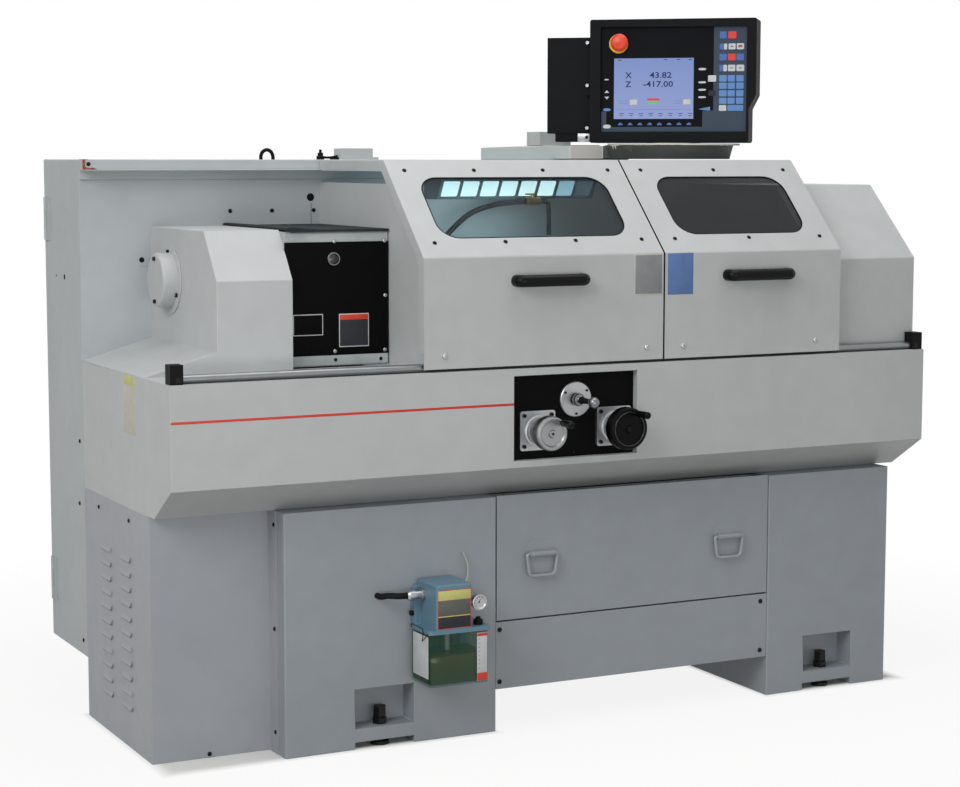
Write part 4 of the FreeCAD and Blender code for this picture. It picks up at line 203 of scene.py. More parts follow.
def machined(name, colour, axis="x", roughness=0.28, line=0.8):
    stretch = {"x": (0.02, 1, 1), "y": (1, 0.02, 1), "z": (1, 1, 0.02)}[axis]
    made = Finish(name, colour, Metallic=1.0)
    lines = made.grain(line, 3, stretch, 0.6)
    stain = made.level(made.grain(48, 4), 0.4, 0.75)
    body = made.blend(tone(colour, 0.82), tone(colour, 1.12), lines)
    return made.painted(Base_Color=made.blend(body, tone(colour, 0.7), stain * 0.3),
                        Roughness=roughness + lines * 0.18 + stain * 0.1, Normal=made.relief(lines, 0.01))


def turnedMetal(name, colour, centre, axis, roughness=0.24, pitch=0.55):  # fine rings about one axis
    made = Finish(name, colour, Metallic=1.0)
    first, second = (made.along(part) - value for part, value in zip("XYZ", centre) if part != axis)
    radius = (first * first + second * second).maths("SQRT")
    rings = (radius * (2 * math.pi / pitch)).maths("SINE") * 0.5 + 0.5
    patchy = made.grain(6, 3)
    body = made.blend(tone(colour, 0.88), tone(colour, 1.1), rings * 0.6 + patchy * 0.4)
    return made.painted(Base_Color=body, Roughness=roughness + patchy * 0.16, Normal=made.relief(rings, 0.012))


def moulded(name, colour, roughness=0.38, grainSize=0.9, depth=0.02, gloss=0.5):
    made = Finish(name, colour, Specular_IOR_Level=gloss)
    handled = made.grain(28, 3)
    return made.painted(Base_Color=made.blend(tone(colour, 0.85), tone(colour, 1.25), handled),
                        Roughness=roughness + handled * 0.15,
                        Normal=made.relief(made.grain(grainSize, 2), depth))


def ribbedMat(name, colour, pitch=3.0):
    made = Finish(name, colour, Specular_IOR_Level=0.2)
    ribs = (made.along("X") * (2 * math.pi / pitch)).maths("SINE")
    dusty = made.grain(22, 4, rough=0.65)
    body = made.blend(tone(colour), tone(colour, 3.2), made.level(dusty, 0.35, 0.8) * 0.5)
    return made.painted(Base_Color=body, Roughness=0.62 + dusty * 0.2, Normal=made.relief(ribs, 0.3))


def litCell(name, colour, strength):
    made = Finish(name, colour, 0.3, Emission_Strength=strength)
    across = made.level(made.along("Z"), 1246.0, 1290.0, 1.0, 0.0)
    glow = made.blend(tone(colour), tone(colour, 1.45), across * 0.7 + made.grain(60, 2) * 0.3)
    return made.painted(Base_Color=tone(colour, 0.3), Emission_Color=glow)


def clearPane(name, colour, cover):  # cover is how much of the light one side of the pane keeps back
    made = Finish(name, colour, 0.04, IOR=1.45)
    smears = made.level(made.grain(120, 4, (1, 1, 3), 0.6), 0.45, 0.8)
    return made.painted(Base_Color=made.blend(tone(colour), tone(colour, 1.4), smears), Alpha=cover + smears * 0.05,
                        Roughness=0.03 + smears * 0.05)


def oilTank(name):
    made = Finish(name, (14, 80, 50), 0.1)
    streak = made.grain(24, 3, (1, 1, 0.4))
    return made.painted(Base_Color=made.blend(tone((6, 62, 36)), tone((24, 104, 78)), streak),
                        Alpha=0.2 + streak * 0.14, Roughness=0.06 + streak * 0.08)


def oilFill(name):
    made = Finish(name, (46, 58, 16), 0.15)
    depth = made.level(made.along("Z"), 160.0, 226.0)
    murk = made.grain(30, 3)
    body = made.blend(tone((40, 52, 0)), tone((96, 78, 0)), (depth * 0.7 + murk * 0.4).clamped())
    return made.painted(Base_Color=body, Roughness=0.1 + murk * 0.06)


def litScreen(name):
    made = Finish(name, (60, 80, 120), 0.25, Emission_Strength=0.62)
    lift = made.level(made.along("Z"), 1446.0, 1603.0)
    dots = made.grain(0.9, 1)
    glow = made.blend(tone((160, 174, 222)), tone((120, 146, 204)), lift * 0.8 + dots * 0.2)
    return made.painted(Emission_Color=glow, Base_Color=made.blend(tone((50, 60, 96)), tone((64, 76, 116)), dots))


def rustSpot(name):
    made = Finish(name, (150, 78, 44), 0.75)
    blotch = made.grain(5, 5, rough=0.7)
    body = made.blend(tone((104, 46, 28)), tone((188, 120, 84)), made.level(blotch, 0.35, 0.7))
    return made.painted(Base_Color=body, Roughness=0.65 + blotch * 0.25, Normal=made.relief(blotch, 0.15))


cream = powderCoat("creamPowderCoat", (192, 195, 195))
wallCream = powderCoat("wallPowderCoat", (184, 190, 192), 0.46, 0.12)
greyEnamel = powderCoat("greyEnamel", (154, 160, 166), 0.4, 0.1, 0.02)
cabinetEnamel = powderCoat("cabinetEnamel", (164, 168, 174), 0.42, 0.1, 0.016)
armCoat = powderCoat("armPowderCoat", (202, 200, 194))
linkCoat = powderCoat("linkPowderCoat", (184, 194, 193))
drumCoat = castPaint("drumPaint", (54, 57, 56))
headPaint = castPaint("headstockPaint", (182, 190, 189), 0.42)
bedIron = castPaint("bedCasting", (104, 112, 114), 0.5)
motorPaint = castPaint("motorPaint", (72, 84, 96))
panelBlack = powderCoat("panelBlack", (9, 9, 9), 0.5, 0.05, 0.02, 0.05)
caseBlack = powderCoat("caseBlack", (17, 18, 21), 0.55, 0.05, 0.05, 0.1)
gripBlack = moulded("gripBlack", (10, 10, 11), 0.18, gloss=0.12)
mouldedBlack = moulded("mouldedBlack", (15, 15, 16), 0.55, gloss=0.12)
hoseBlack = moulded("hoseRubber", (18, 18, 20), 0.6, 1.4, 0.05, 0.12)
beltBlack = moulded("beltRubber", (22, 22, 22), 0.6, 1.2, 0.08, 0.15)
matRubber = ribbedMat("matRubber", (36, 42, 44))
zincSheet = machined("zincSheet", (150, 154, 158), "z", 0.4, 4)
groundSteel = machined("groundSteel", (150, 154, 156), "x", 0.26)
crossSteel = machined("crossGroundSteel", (146, 150, 152), "y", 0.28)
railSteel = machined("railSteel", (132, 135, 136), "x", 0.22)
brightSteel = machined("brightSteel", (176, 178, 180), "z", 0.22, 1.5)
blackScrew = moulded("blackenedScrew", (17, 17, 18), 0.36, 0.8, 0.03, 0.2)
brass = machined("brass", (182, 154, 86), "z", 0.25, 1.2)
chuckSteel = turnedMetal("chuckSteel", (146, 150, 154), (0, 79, 1059), "X", 0.22)
spindleSteel = turnedMetal("spindleSteel", (146, 149, 152), (0, 79, 1059), "X", 0.26)
wheelAlloy = turnedMetal("leftWheelAlloy", (144, 145, 146), (-102, 0, 716), "Y", 0.28)
flangeAlloy = machined("flangeAlloy", (170, 172, 174), "x", 0.3, 0.9)
wheelBlack = moulded("wheelBlack", (9, 9, 10), 0.24, 2.5, 0.01, 0.08)
pumpEnamel = powderCoat("pumpEnamel", (98, 132, 150), 0.36, 0.1, 0.02)
windowPane = clearPane("windowPane", (58, 72, 78), 0.09)
# the right pane is darker and holds back more light than the left one: painted shade of the unlit inside behind it
paneWithPaintedShade = clearPane("paneWithPaintedShade", (22, 26, 29), 0.52)
tankPlastic = oilTank("tankPlastic")
oil = oilFill("lubricatingOil")
slatePanel = powderCoat("slatePanel", (62, 74, 90), 0.5, 0.03, 0.01, 0.2)
blackPanel = powderCoat("panelField", (13, 14, 18), 0.55, 0.03, 0.01, 0.08)
stopRed = moulded("stopRed", (226, 62, 34), 0.28)
stopYellow = moulded("stopYellow", (240, 202, 40), 0.35)
keyBlue = moulded("keyBlue", (88, 132, 190), 0.42)
keyDeepBlue = moulded("keyDeepBlue", (66, 100, 168), 0.42)
keyRed = moulded("keyRed", (220, 52, 44), 0.42)
keyWhite = moulded("keyWhite", (196, 200, 202), 0.42)
keyGreen = moulded("keyGreen", (110, 190, 120), 0.45)
keyDark = moulded("keyDark", (40, 44, 52), 0.5, gloss=0.2)
inkBlue = moulded("inkBlue", (34, 44, 88), 0.5, gloss=0.2)
printWhite = moulded("printWhite", (196, 198, 198), 0.5)
printGrey = moulded("printGrey", (96, 100, 94), 0.5, gloss=0.2)
printDark = moulded("printDark", (46, 48, 54), 0.5, gloss=0.2)
printYellow = moulded("printYellow", (196, 194, 118), 0.45)
printRed = moulded("printRed", (204, 56, 38), 0.4)
plateWhite = moulded("plateWhite", (190, 190, 183), 0.4)
plateGrey = moulded("plateGrey", (132, 135, 136), 0.4)
plateBlue = moulded("plateBlue", (86, 116, 168), 0.4)
plateBuff = moulded("plateBuff", (190, 186, 170), 0.4)
nylonClear = moulded("nylonTube", (168, 170, 160), 0.25)
knobChrome = machined("knobChrome", (120, 122, 124), "y", 0.14, 1.0)
rimBlack = moulded("wheelRimBlack", (30, 30, 32), 0.2, gloss=0.4)
sightGlass = moulded("sightGlass", (52, 56, 52), 0.12)
screenGlow = litScreen("screenGlow")
rust = rustSpot("rustedSteel")
lampBright = litCell("lampBright", (182, 226, 235), 1.1)
lampFading = litCell("lampFading", (118, 160, 176), 1.0)
lampDim = litCell("lampDim", (52, 72, 82), 0.8)
print("finishes mixed:", len(bpy.data.materials))


# shapes, with points in mm of the machine or of a given frame

unturned = Matrix.Identity(4)


def disc(radius, height, top=None):  # the profile of a round boss, whose top may be narrower
    return [(0, 0), (0, radius), (height, top or radius), (height, 0)]


class Shape:  # gathers faces in several finishes, then becomes one piece
    def __init__(self, frameOf=None):
        self.mesh = bmesh.new()
        self.finishes = []
        self.frameOf = frameOf or unturned
        self.place = mm if frameOf else at

    def take(self, part, finish):
        if finish not in self.finishes:
            self.finishes.append(finish)
        for face in part.faces:
            face.material_index = self.finishes.index(finish)
        part.transform(self.frameOf)
        bmesh.ops.recalc_face_normals(part, faces=part.faces)
        holder = bpy.data.meshes.new("holder")
        part.to_mesh(holder)
        self.mesh.from_mesh(holder)
        bpy.data.meshes.remove(holder)
        part.free()

    def slab(self, finish, low, high, edge=0.0, turn=unturned):  # a rounded block between two corners
        part = bmesh.new()
        bmesh.ops.create_cube(part, size=1.0)
        low, high = self.place(*low), self.place(*high)
        part.transform(Matrix.Translation((low + high) / 2) @ turn @ Matrix.Diagonal((*(high - low), 1)))
        if edge:
            bmesh.ops.bevel(part, geom=list(part.edges), offset=edge / 1000, segments=2, profile=0.5, affect="EDGES")
        self.take(part, finish)

    def slabs(self, *rows):
        for row in rows:
            self.slab(*row)

    def outline(self, finish, points, rise):  # a flat outline raised along a vector
        part = bmesh.new()
        points = [self.place(*point) for point in points]
        base = [part.verts.new(point) for point in points]
        top = [part.verts.new(point + mm(*rise)) for point in points]
        part.faces.new(base[::-1])
        part.faces.new(top)
        for i in range(len(points)):
            j = (i + 1) % len(points)
            part.faces.new((base[i], base[j], top[j], top[i]))
        self.take(part, finish)

    def spun(self, finish, centre, axis, profile, sides=32):  # profile holds (along, radius)
        part = bmesh.new()
        axis = axis.normalized()
        side = axis.orthogonal().normalized()
        other = axis.cross(side)
        angles = [2 * math.pi * i / sides for i in range(sides)]
        spokes = [side * math.cos(angle) + other * math.sin(angle) for angle in angles]
        rings = []
        for along, radius in profile:
            middle = self.place(*centre) + axis * along / 1000
            reached = spokes if radius else spokes[:1]
            rings.append([part.verts.new(middle + spoke * radius / 1000) for spoke in reached])
        for first, second in zip(rings, rings[1:]):
            for i in range(sides):
                j = (i + 1) % sides
                near = first if len(first) == 1 else [first[i], first[j]]
                part.faces.new(near + (second if len(second) == 1 else [second[j], second[i]]))
        bmesh.ops.remove_doubles(part, verts=part.verts, dist=1e-6)
        self.take(part, finish)

    def trace(self, finish, curve, place):  # the faces of a curve, moved by a matrix
        mesh = drawn(linked("curve", curve))
        part = bmesh.new()
        part.from_mesh(mesh)
        bmesh.ops.remove_doubles(part, verts=part.verts, dist=1e-6)
        part.transform(place)
        bpy.data.meshes.remove(mesh)
        bpy.data.curves.remove(curve)
        self.take(part, finish)

    def wire(self, finish, points, radius, closed=False):  # a round bar along points
        curve = bpy.data.curves.new("wire", "CURVE")
        curve.dimensions = "3D"
        spline = curve.splines.new("POLY")
        spline.points.add(len(points) - 1)
        for target, point in zip(spline.points, points):
            target.co = (*self.place(*point), 1)
        spline.use_cyclic_u = closed
        curve.bevel_depth = radius / 1000
        curve.bevel_resolution = 2
        curve.use_fill_caps = True
        self.trace(finish, curve, unturned)

    def words(self, finish, text, height, place, bold=0.0):  # plain figures, set by a matrix
        curve = bpy.data.curves.new("figures", "FONT")
        curve.body = text
        curve.size = height / 1000 * 1.4
        curve.extrude = 0.0001
        curve.offset = bold / 1000
        curve.resolution_u = 2
        self.trace(finish, curve, place)

    def smoothed(self, name, angle):
        mesh = bpy.data.meshes.new(name)
        self.mesh.to_mesh(mesh)
        self.mesh.free()
        mesh.shade_smooth()
        mesh.set_sharp_from_angle(angle=math.radians(angle))
        return linked(name, mesh)

    def settle(self, name, body):
        made = self.smoothed(name, 35)
        for finish in self.finishes:
            made.data.materials.append(finish)
        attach(made, body)


def roomBeside(face, edge):  # how wide a face is beside one of its edges, measured across it at three places
    loop = next(loop for loop in face.loops if loop.edge == edge)
    start, end = loop.vert.co, loop.link_loop_next.vert.co
    along = (end - start).normalized()
    inward = face.normal.cross(along)
    room = 9.0
    for share in (0.08, 0.5, 0.92):
        spot = start.lerp(end, share)
        for other in face.edges:
            if other == edge:
                continue
            first, second = (vert.co - spot for vert in other.verts)
            before, after = first.dot(along), second.dot(along)
            if before * after <= 0 and abs(before - after) > 1e-7:
                across = first.lerp(second, before / (before - after)).dot(inward)
                if across > 1e-6:
                    room = min(room, across)
    return room


def bendRadius(work, radius):  # a weight for each sharp edge between two faces wide enough to take the bend
    layer = work.edges.layers.float.new("bevel_weight_edge")
    work.normal_update()
    for edge in work.edges:
        if len(edge.link_faces) != 2 or edge.calc_length() < 0.004 or edge.calc_face_angle(0) < math.radians(28):
            continue
        room = min(roomBeside(face, edge) for face in edge.link_faces)
        edge[layer] = 1.0 if room > 2.4 * radius / 1000 else 0.0


def evaluated(mesh, kind, **settings):  # the mesh as one modifier leaves it
    holder = linked("holder", mesh)
    modifier = holder.modifiers.new("step", kind)
    for key, value in settings.items():
        setattr(modifier, key, value)
    return drawn(holder)


def softEdges(node, finish, radius, *extra):  # the CAD shape with its bends and edges rounded
    work = bmesh.new()
    work.from_mesh(frame["nodes"][node].data)
    bmesh.ops.remove_doubles(work, verts=work.verts, dist=2e-5)
    bmesh.ops.dissolve_limit(work, angle_limit=math.radians(0.6), verts=work.verts, edges=work.edges)
    bendRadius(work, radius)
    mesh = bpy.data.meshes.new(node + "Soft")
    work.to_mesh(mesh)
    work.free()
    mesh.materials.append(finish)
    bent = evaluated(mesh, "BEVEL", limit_method="WEIGHT", width=radius / 1000, segments=2, use_clamp_overlap=False)
    bent.shade_smooth()
    bent.set_sharp_from_angle(angle=math.radians(32))
    final = evaluated(bent, "WEIGHTED_NORMAL", keep_sharp=True, weight=80)
    final.name = node + "Dressed"
    made = linked(node + "Dressed", final)
    zones(final, extra)
    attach(made, bodyOf[node])
    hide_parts(node)


def zones(mesh, extra):  # other finishes inside boxes given by two corners in machine mm
    for finish, low, high in extra:
        mesh.materials.append(finish)
        low, high = at(*low), at(*high)
        for face in mesh.polygons:
            if all(low[i] <= face.center[i] <= high[i] for i in range(3)):
                face.material_index = len(mesh.materials) - 1


def dress(node, finish, *extra):
    mesh = frame["nodes"][node].data
    mesh.materials.clear()
    mesh.materials.append(finish)
    for face in mesh.polygons:
        face.material_index = 0
    zones(mesh, extra)


# casings and frames

casings = {
    "front_cover": (cream, 1.6), "left_end_panel": (cream, 1.8), "end_cover": (cream, 1.6),
    "tail_cover": (cream, 2.5), "left_door": (cream, 2.2), "right_door": (cream, 2.2),
    "rear_cabinet": (wallCream, 2.5), "rear_door": (wallCream, 2.5), "headstock_shield": (cream, 1.5),
    "left_pedestal": (greyEnamel, 2.6), "right_pedestal": (greyEnamel, 2.6), "end_cabinet": (cabinetEnamel, 2.2),
    "drawer": (greyEnamel, 1.6), "lower_front_panel": (greyEnamel, 1.6), "headstock": (headPaint, 3.0),
    "lube_pump": (pumpEnamel, 2.0),
    "pendant_mount": (armCoat, 2.0, (linkCoat, (1140, 555, 1339), (1283, 930, 1420)),
                      (linkCoat, (1284, 780, 1339), (1450, 930, 1420)),
                      (drumCoat, (1380, 300, 1340.5), (1780, 720, 1377)),
                      (armCoat, (1380, 300, 1377), (1780, 720, 1390))),
    "pendant_case": (caseBlack, 2.5), "rail_end_blocks": (mouldedBlack, 1.5),
}
for node, look in casings.items():
    softEdges(node, *look)
print("casings rounded")

plainLooks = [
    (blackScrew, "levelling_screws", "joystick_gimbal"), (zincSheet, "chip_tray"), (railSteel, "door_rail"),
    (panelBlack, "headstock_panel", "control_plate"), (matRubber, "headstock_mat"), (chuckSteel, "chuck"),
    (spindleSteel, "spindle", "motor_pulley"), (crossSteel, "jaw_1", "jaw_2", "jaw_3", "cross_slide", "tool_post"),
    (motorPaint, "drive_motor"), (beltBlack, "drive_belt"), (groundSteel, "lead_screw", "quill"),
    (brightSteel, "tailstock_wheel"), (flangeAlloy, "control_flanges"), (wheelBlack, "right_handwheel"),
    # the right window takes the darker pane, which paints the shade of the inside behind it
    (gripBlack, "left_door_handle", "right_door_handle"), (windowPane, "left_window"), (paneWithPaintedShade, "right_window"),
    (tankPlastic, "lube_reservoir"), (slatePanel, "pendant_face"), (stopRed, "estop_button"),
    (powderCoat("lampHousing", (96, 112, 120), 0.4), "work_lamp"),
]
for finish, *nodes in plainLooks:
    for node in nodes:
        dress(node, finish)
for side in ("left", "right"):
    dress(side + "_bail", powderCoat(side + "BailEnamel", (160, 165, 172), 0.34))

dress("bed", bedIron, (groundSteel, (300, 340, 845), (1990, 645, 870)))
dress("drive_modules", powderCoat("moduleGrey", (150, 154, 158)), (zincSheet, (290, 640, 290), (1710, 666, 1210)))
dress("carriage", bedIron, (groundSteel, (950, 300, 886), (1260, 650, 890)))
dress("tailstock", headPaint, (groundSteel, (1440, 380, 850), (1720, 640, 880)))
dress("left_handwheel", wheelAlloy, (gripBlack, (905, -130, 718), (960, -62.3, 780)))
dress("joystick", knobChrome, (hoseBlack, (960, -58, 740), (1030, -12, 830)))
dress("coolant_line", hoseBlack, (brass, (1148, 500, 1220), (1192, 640, 1260)))
dress("lube_fittings", nylonClear, (brightSteel, (692, -40, 318), (737, -15, 356)),
      (mouldedBlack, (709, -36, 282), (735, -8, 310)), (brightSteel, (562, -60, 340), (606, 80, 372)),
      (hoseBlack, (490, -60, 330), (562, 80, 375)), (blackScrew, (580, 40, 300), (593, 60, 316)))
dress("interlock_switch", cream, (mouldedBlack, (600, 650, 1339), (669, 700, 1372)),
      (mouldedBlack, (660, 660, 1342), (675.8, 690, 1356)), (mouldedBlack, (460, 660, 1339), (515, 690, 1372)))
print("CAD nodes dressed")


# fasteners and other repeats

def headShape(name, profile, sides=20):  # a head one metre in radius, which each screw scales down
    shape = Shape(unturned)
    shape.spun(blackScrew, (0, 0, 0), Vector((0, 0, 1)), profile, sides)
    return shape.smoothed(name, 30)


screwHeads = {  # (height, radius) of heads, with the socket sunk in the top
    "button": headShape("buttonHead", [(0, 0), (0, 1000), (120, 1000), (330, 900), (480, 700), (540, 480),
                                       (520, 440), (180, 420), (180, 0)]),
    "cap": headShape("capHead", [(0, 0), (0, 1000), (850, 1000), (960, 930), (960, 560), (420, 540), (420, 0)]),
}


def placeValue(graph, name):  # what a point says under a name
    return graph.node("GeometryNodeInputNamedAttribute", {"Name": name}, data_type="FLOAT_VECTOR")


def repeatTree(name, inputs, item):  # one item on each point, turned to the way the point faces
    tree = bpy.data.node_groups.new(name, "GeometryNodeTree")
    graph = Graph(tree)
    for label, kind in {"Places": "Geometry", **inputs, "Finish": "Material"}.items():
        tree.interface.new_socket(label, in_out="INPUT", socket_type="NodeSocket" + kind)
    tree.interface.new_socket("Geometry", in_out="OUTPUT", socket_type="NodeSocketGeometry")
    source = tree.nodes.new("NodeGroupInput")
    given = {socket.name: Value(graph, socket) for socket in source.outputs}
    aimed = graph.node("FunctionNodeAlignRotationToVector", {"Vector": placeValue(graph, "facing")}, axis="Z")
    shape, rotation, size = item(graph, given, aimed)
    points = graph.node("GeometryNodeMeshToPoints", {"Mesh": given["Places"]})
    copies = graph.node("GeometryNodeInstanceOnPoints",
                        {"Points": points, "Instance": shape, "Rotation": rotation, "Scale": size})
    real = graph.node("GeometryNodeRealizeInstances", {"Geometry": copies})
    painted = graph.node("GeometryNodeSetMaterial", {"Geometry": real, "Material": given["Finish"]})
    sink = tree.nodes.new("NodeGroupOutput")
    tree.links.new(painted.socket, sink.inputs[0])
    return tree


def headItem(graph, given, aimed):
    head = graph.node("GeometryNodeObjectInfo", {"Object": given["Head"]}, "Geometry")
    return head, aimed, graph.node("ShaderNodeCombineXYZ", dict.fromkeys(range(3), given["Size"]))


def keyItem(graph, given, aimed):  # a rounded key, upright, as wide, tall and thick as the point says
    level = graph.node("FunctionNodeAlignRotationToVector", {"Rotation": aimed, "Vector": (0.0, 0.0, 1.0)},
                       axis="Y", pivot_axis="Z")
    square = graph.node("GeometryNodeCurvePrimitiveQuadrilateral", {"Width": 1.0, "Height": 1.0})
    rounded = graph.node("GeometryNodeFilletCurve", {"Curve": square, "Radius": given["Corner"], "Count": 3},
                         mode="POLY")
    filled = graph.node("GeometryNodeFillCurve", {"Curve": rounded}, mode="NGONS")
    raised = graph.node("GeometryNodeExtrudeMesh", {"Mesh": filled, "Offset Scale": 1.0})
    back = graph.node("GeometryNodeFlipFaces", {"Mesh": filled})
    whole = graph.tree.nodes.new("GeometryNodeJoinGeometry")
    for part in (raised, back):
        graph.tree.links.new(part.socket, whole.inputs[0])
    return Value(graph, whole.outputs[0]), level, placeValue(graph, "size")


def grown(name, tree, body, slot, spots, **inputs):  # spots hold (place, facing) or (place, facing, size)
    seeds = bpy.data.meshes.new(name + "Spots")
    seeds.from_pydata([spot[0] for spot in spots], [], [])
    for label, index in (("facing", 1), ("size", 2)):
        if len(spots[0]) > index:
            column = seeds.attributes.new(label, "FLOAT_VECTOR", "POINT")
            column.data.foreach_set("vector", [part for spot in spots for part in spot[index]])
    holder = linked(name + "Seeds", seeds)
    modifier = holder.modifiers.new("repeat", "NODES")
    modifier.node_group = tree
    for item in tree.interface.items_tree:
        if item.name in inputs:
            modifier[item.identifier] = inputs[item.name]
    mesh = drawn(holder)
    mesh.name = name
    made = linked(name, mesh)
    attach(made, body)


fasteners = repeatTree("fasteners", {"Head": "Object", "Size": "Float"}, headItem)
keyPattern = repeatTree("keys", {"Corner": "Float"}, keyItem)
forward, leftward, upward = Vector((0, -1, 0)), Vector((-1, 0, 0)), Vector((0, 0, 1))
slopeOut = Vector((0, -1, 1)).normalized()


def screws(name, head, size, spots, body="base", bright=False):
    finish, slot = (brightSteel, "machined_steel") if bright else (blackScrew, "black_oxide")
    places = [(at(*spot[:3]), spot[3]) for spot in spots]
    grown(name, fasteners, body, slot, places, Head=screwHeads[head], Size=size / 1000, Finish=finish)


wheel = {"left": 894, "right": 1098, "high": 716, "screws": 36}
stick = {"x": 996, "z": 784, "screws": 34}
spindleAxis = {"y": 495, "z": 1059, "screws": 66}
guard = {"left": [641, 821, 1005, 1184], "right": [1277, 1488, 1697], "rows": (1315, 1153), "kink": 1121, "front": 4,
         "bolts": {"left": [651, 1182], "right": [1283.5, 1667]}, "boltHigh": 899}
for side in ("left", "right"):  # the guards' slope leans back at 45 degrees from its kink
    screws(side + "GuardScrews", "button", 5.2, [(x, guard["front"] + z - guard["kink"], z, slopeOut)
                                                 for x in guard[side] for z in guard["rows"]], side + "_door")
    screws(side + "GuardBolts", "button", 7.0, [(x, guard["front"], guard["boltHigh"], forward)
                                                for x in guard["bolts"][side]], side + "_door", True)

panelCorners = [(476, 1153.5), (603, 1153), (604, 1026), (603, 899), (476.5, 900)]
screws("panelScrews", "button", 5, [(x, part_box("headstock_panel")[0].y * 1000 + machineZero["y"], z, forward)
                                    for x, z in panelCorners], bright=True)
screws("headFootScrews", "button", 4, [(479, 229, 879, forward), (594, 229, 879, forward)])
screws("sheetScrews", "button", 5.2,
       [(x, 643, 1215, forward) for x in (378, 487, 598)] + [(15, 612, 1329, forward)]
       + [(0, y, z, leftward) for y, z in ((674, 666), (684, 513), (674, 178), (528, 527), (298, 529))]
       + [(134, 156, 8, forward)])
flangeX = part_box("end_cabinet")[1].x * 1000 + machineZero["x"] - 2
screws("flangeScrews", "button", 5.2, [(flangeX, 118, z, leftward) for z in (526, 288, 50)])
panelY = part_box("lower_front_panel")[0].y * 1000 + machineZero["y"]
screws("lowerPanelScrews", "button", 6, [(x, panelY, z, forward) for x in (823, 1558) for z in (242, 117.5)])
screws("capScrews", "cap", 5, [(169, spindleAxis["y"] + y, spindleAxis["z"] + z, leftward)
                               for y, z in spread(spindleAxis["screws"], (90, -30, 210))]
       + [(135, spindleAxis["y"], spindleAxis["z"] + rise, leftward) for rise in (-50, 50)])
corners = (-wheel["screws"], wheel["screws"])
screws("controlScrews", "cap", 4.6, [(x + dx, 12, wheel["high"] + dz, forward)
                                     for x in (wheel["left"], wheel["right"]) for dx in corners for dz in corners])
screws("discScrews", "cap", 2.8, [(stick["x"] + x, 12, stick["z"] + z, forward)
                                  for x, z in spread(stick["screws"], (35, 150, 270))]
       + [(992.8, 20, 658.7, forward)])
print("fasteners set")


# headstock details and the rear wall

sight = {"x": 475, "z": 1113, "glass": 11.5}
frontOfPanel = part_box("headstock_panel")[0].y * 1000 + machineZero["y"]
sightAt = (sight["x"], frontOfPanel + 7.6, sight["z"])
detail = Shape()
detail.spun(knobChrome, sightAt, forward,
            [(0, sight["glass"]), (0, 15.8), (8.4, 15.8), (9.4, 15), (9.4, 12.6), (6, sight["glass"]),
             (0, sight["glass"])])
detail.spun(sightGlass, sightAt, forward,
            [(0, 0), (0, sight["glass"] + 0.3), (4.6, sight["glass"] + 0.3), (6, 7), (6.4, 0)])
for finish, x0, x1, z0, z1, layer, edge in (
        (printWhite, 373, 447, 938, 987, 0, 0.15), (panelBlack, 375, 445, 940, 985, 1, 0.1),
        (printWhite, 487, 562, 909, 986, 0, 0.15), (printDark, 489, 560, 911, 984, 1, 0.1),
        (printRed, 489, 560, 972, 984, 2, 0.05)):
    front, back = ((0.4, 0), (0.6, 0.3), (0.8, 0.5))[layer]
    detail.slab(finish, (x0, frontOfPanel - front, z0), (x1, frontOfPanel - back, z1), edge)
for x, z in ((478, 880), (592.5, 878.4)):  # screws of the sill
    detail.spun(blackScrew, (x, 225.95, z), forward, disc(4.4, 0.5, 4.2), 20)
detail.settle("headstockPlates", "base")

wall = Shape()
wall.spun(blackScrew, (151, 641.7, 1100), forward, [(0, 0), (0, 6.5), (1.2, 6.5), (1.2, 4), (0.4, 4), (0.4, 0)])
wall.slab(wallCream, (144, 641.6, 1085), (170, 643.2, 1106), 0.3)
wall.slab(cream, (1.8, 228, 860.4), (6.5, 642, 863.2), 0.3)  # the joint under the end guard's foot
wall.spun(hoseBlack, (590, 643.2, 1247), forward, disc(10, 1, 9.4), 24)
wall.slab(hoseBlack, (590.8, 642.9, 1172), (592, 643.2, 1232))
bareFront = [(0.6, 1339.7), (7, 1339.7), (8.5, 1333), (6.5, 1327), (9, 1321.5), (17, 1320), (24, 1321), (34, 1318),
             (35, 1316.4), (0.6, 1316.4)]
bareTop = [(1, 612), (15, 612), (13, 617), (18, 622), (12, 628), (9, 627), (8, 634), (5, 633), (4, 640), (1, 638)]
wall.outline(rust, [(x, 611.6, z) for x, z in bareFront], (0, 0.5, 0))
wall.outline(rust, [(x, y, 1339.8) for x, y in bareTop], (0, 0, 0.5))
for y, radius in ((779, 7), (851, 3.6)):  # two plugged holes in the side
    wall.spun(hoseBlack, (0.2, y, 1056), leftward, disc(radius, 0.5, radius - 0.6), 18)
for z in (897, 880):  # the two bores of the left rail block, drawn as flat black discs of painted shade
    wall.spun(hoseBlack, (3.1, 26, z), leftward, disc(3.6, 0.25), 16)
for x in (21.5, 1978.5):  # rims of the rail blocks' screws
    wall.spun(rimBlack, (x, 4.1, 873), forward, [(0, 3.4), (0, 4.6), (0.3, 4.6), (0.3, 3.4), (0, 3.4)], 20)
wall.settle("wallMarks", "base")

plates = {  # the cover's stripe and the plain plates
    "coverStripe": ("base", (printRed, (2, -0.25, 778.8), (825, 0.02, 784.4), 0.05)),
    "leftBlankPlate": ("left_door", (plateWhite, (1146, 3.4, 1023), (1224, 4.1, 1120), 0.2),
                       (plateGrey, (1148.5, 3.2, 1026), (1221.5, 3.6, 1117), 0.1)),
    "rightBlankPlate": ("right_door", (plateBlue, (1238, 3.4, 1022), (1309, 4.1, 1120), 0.2)),
    "endBlankPlate": ("base", (plateBuff, (-0.35, 241, 727), (0.1, 320, 861), 0.15),
                      (printYellow, (-0.5, 243, 838), (-0.3, 318, 859), 0.1)),
}
for name, (body, *rows) in plates.items():
    plate = Shape()
    plate.slabs(*rows)
    plate.settle(name, body)
print("plates and marks set")


# guards: window gaskets and lamp cells

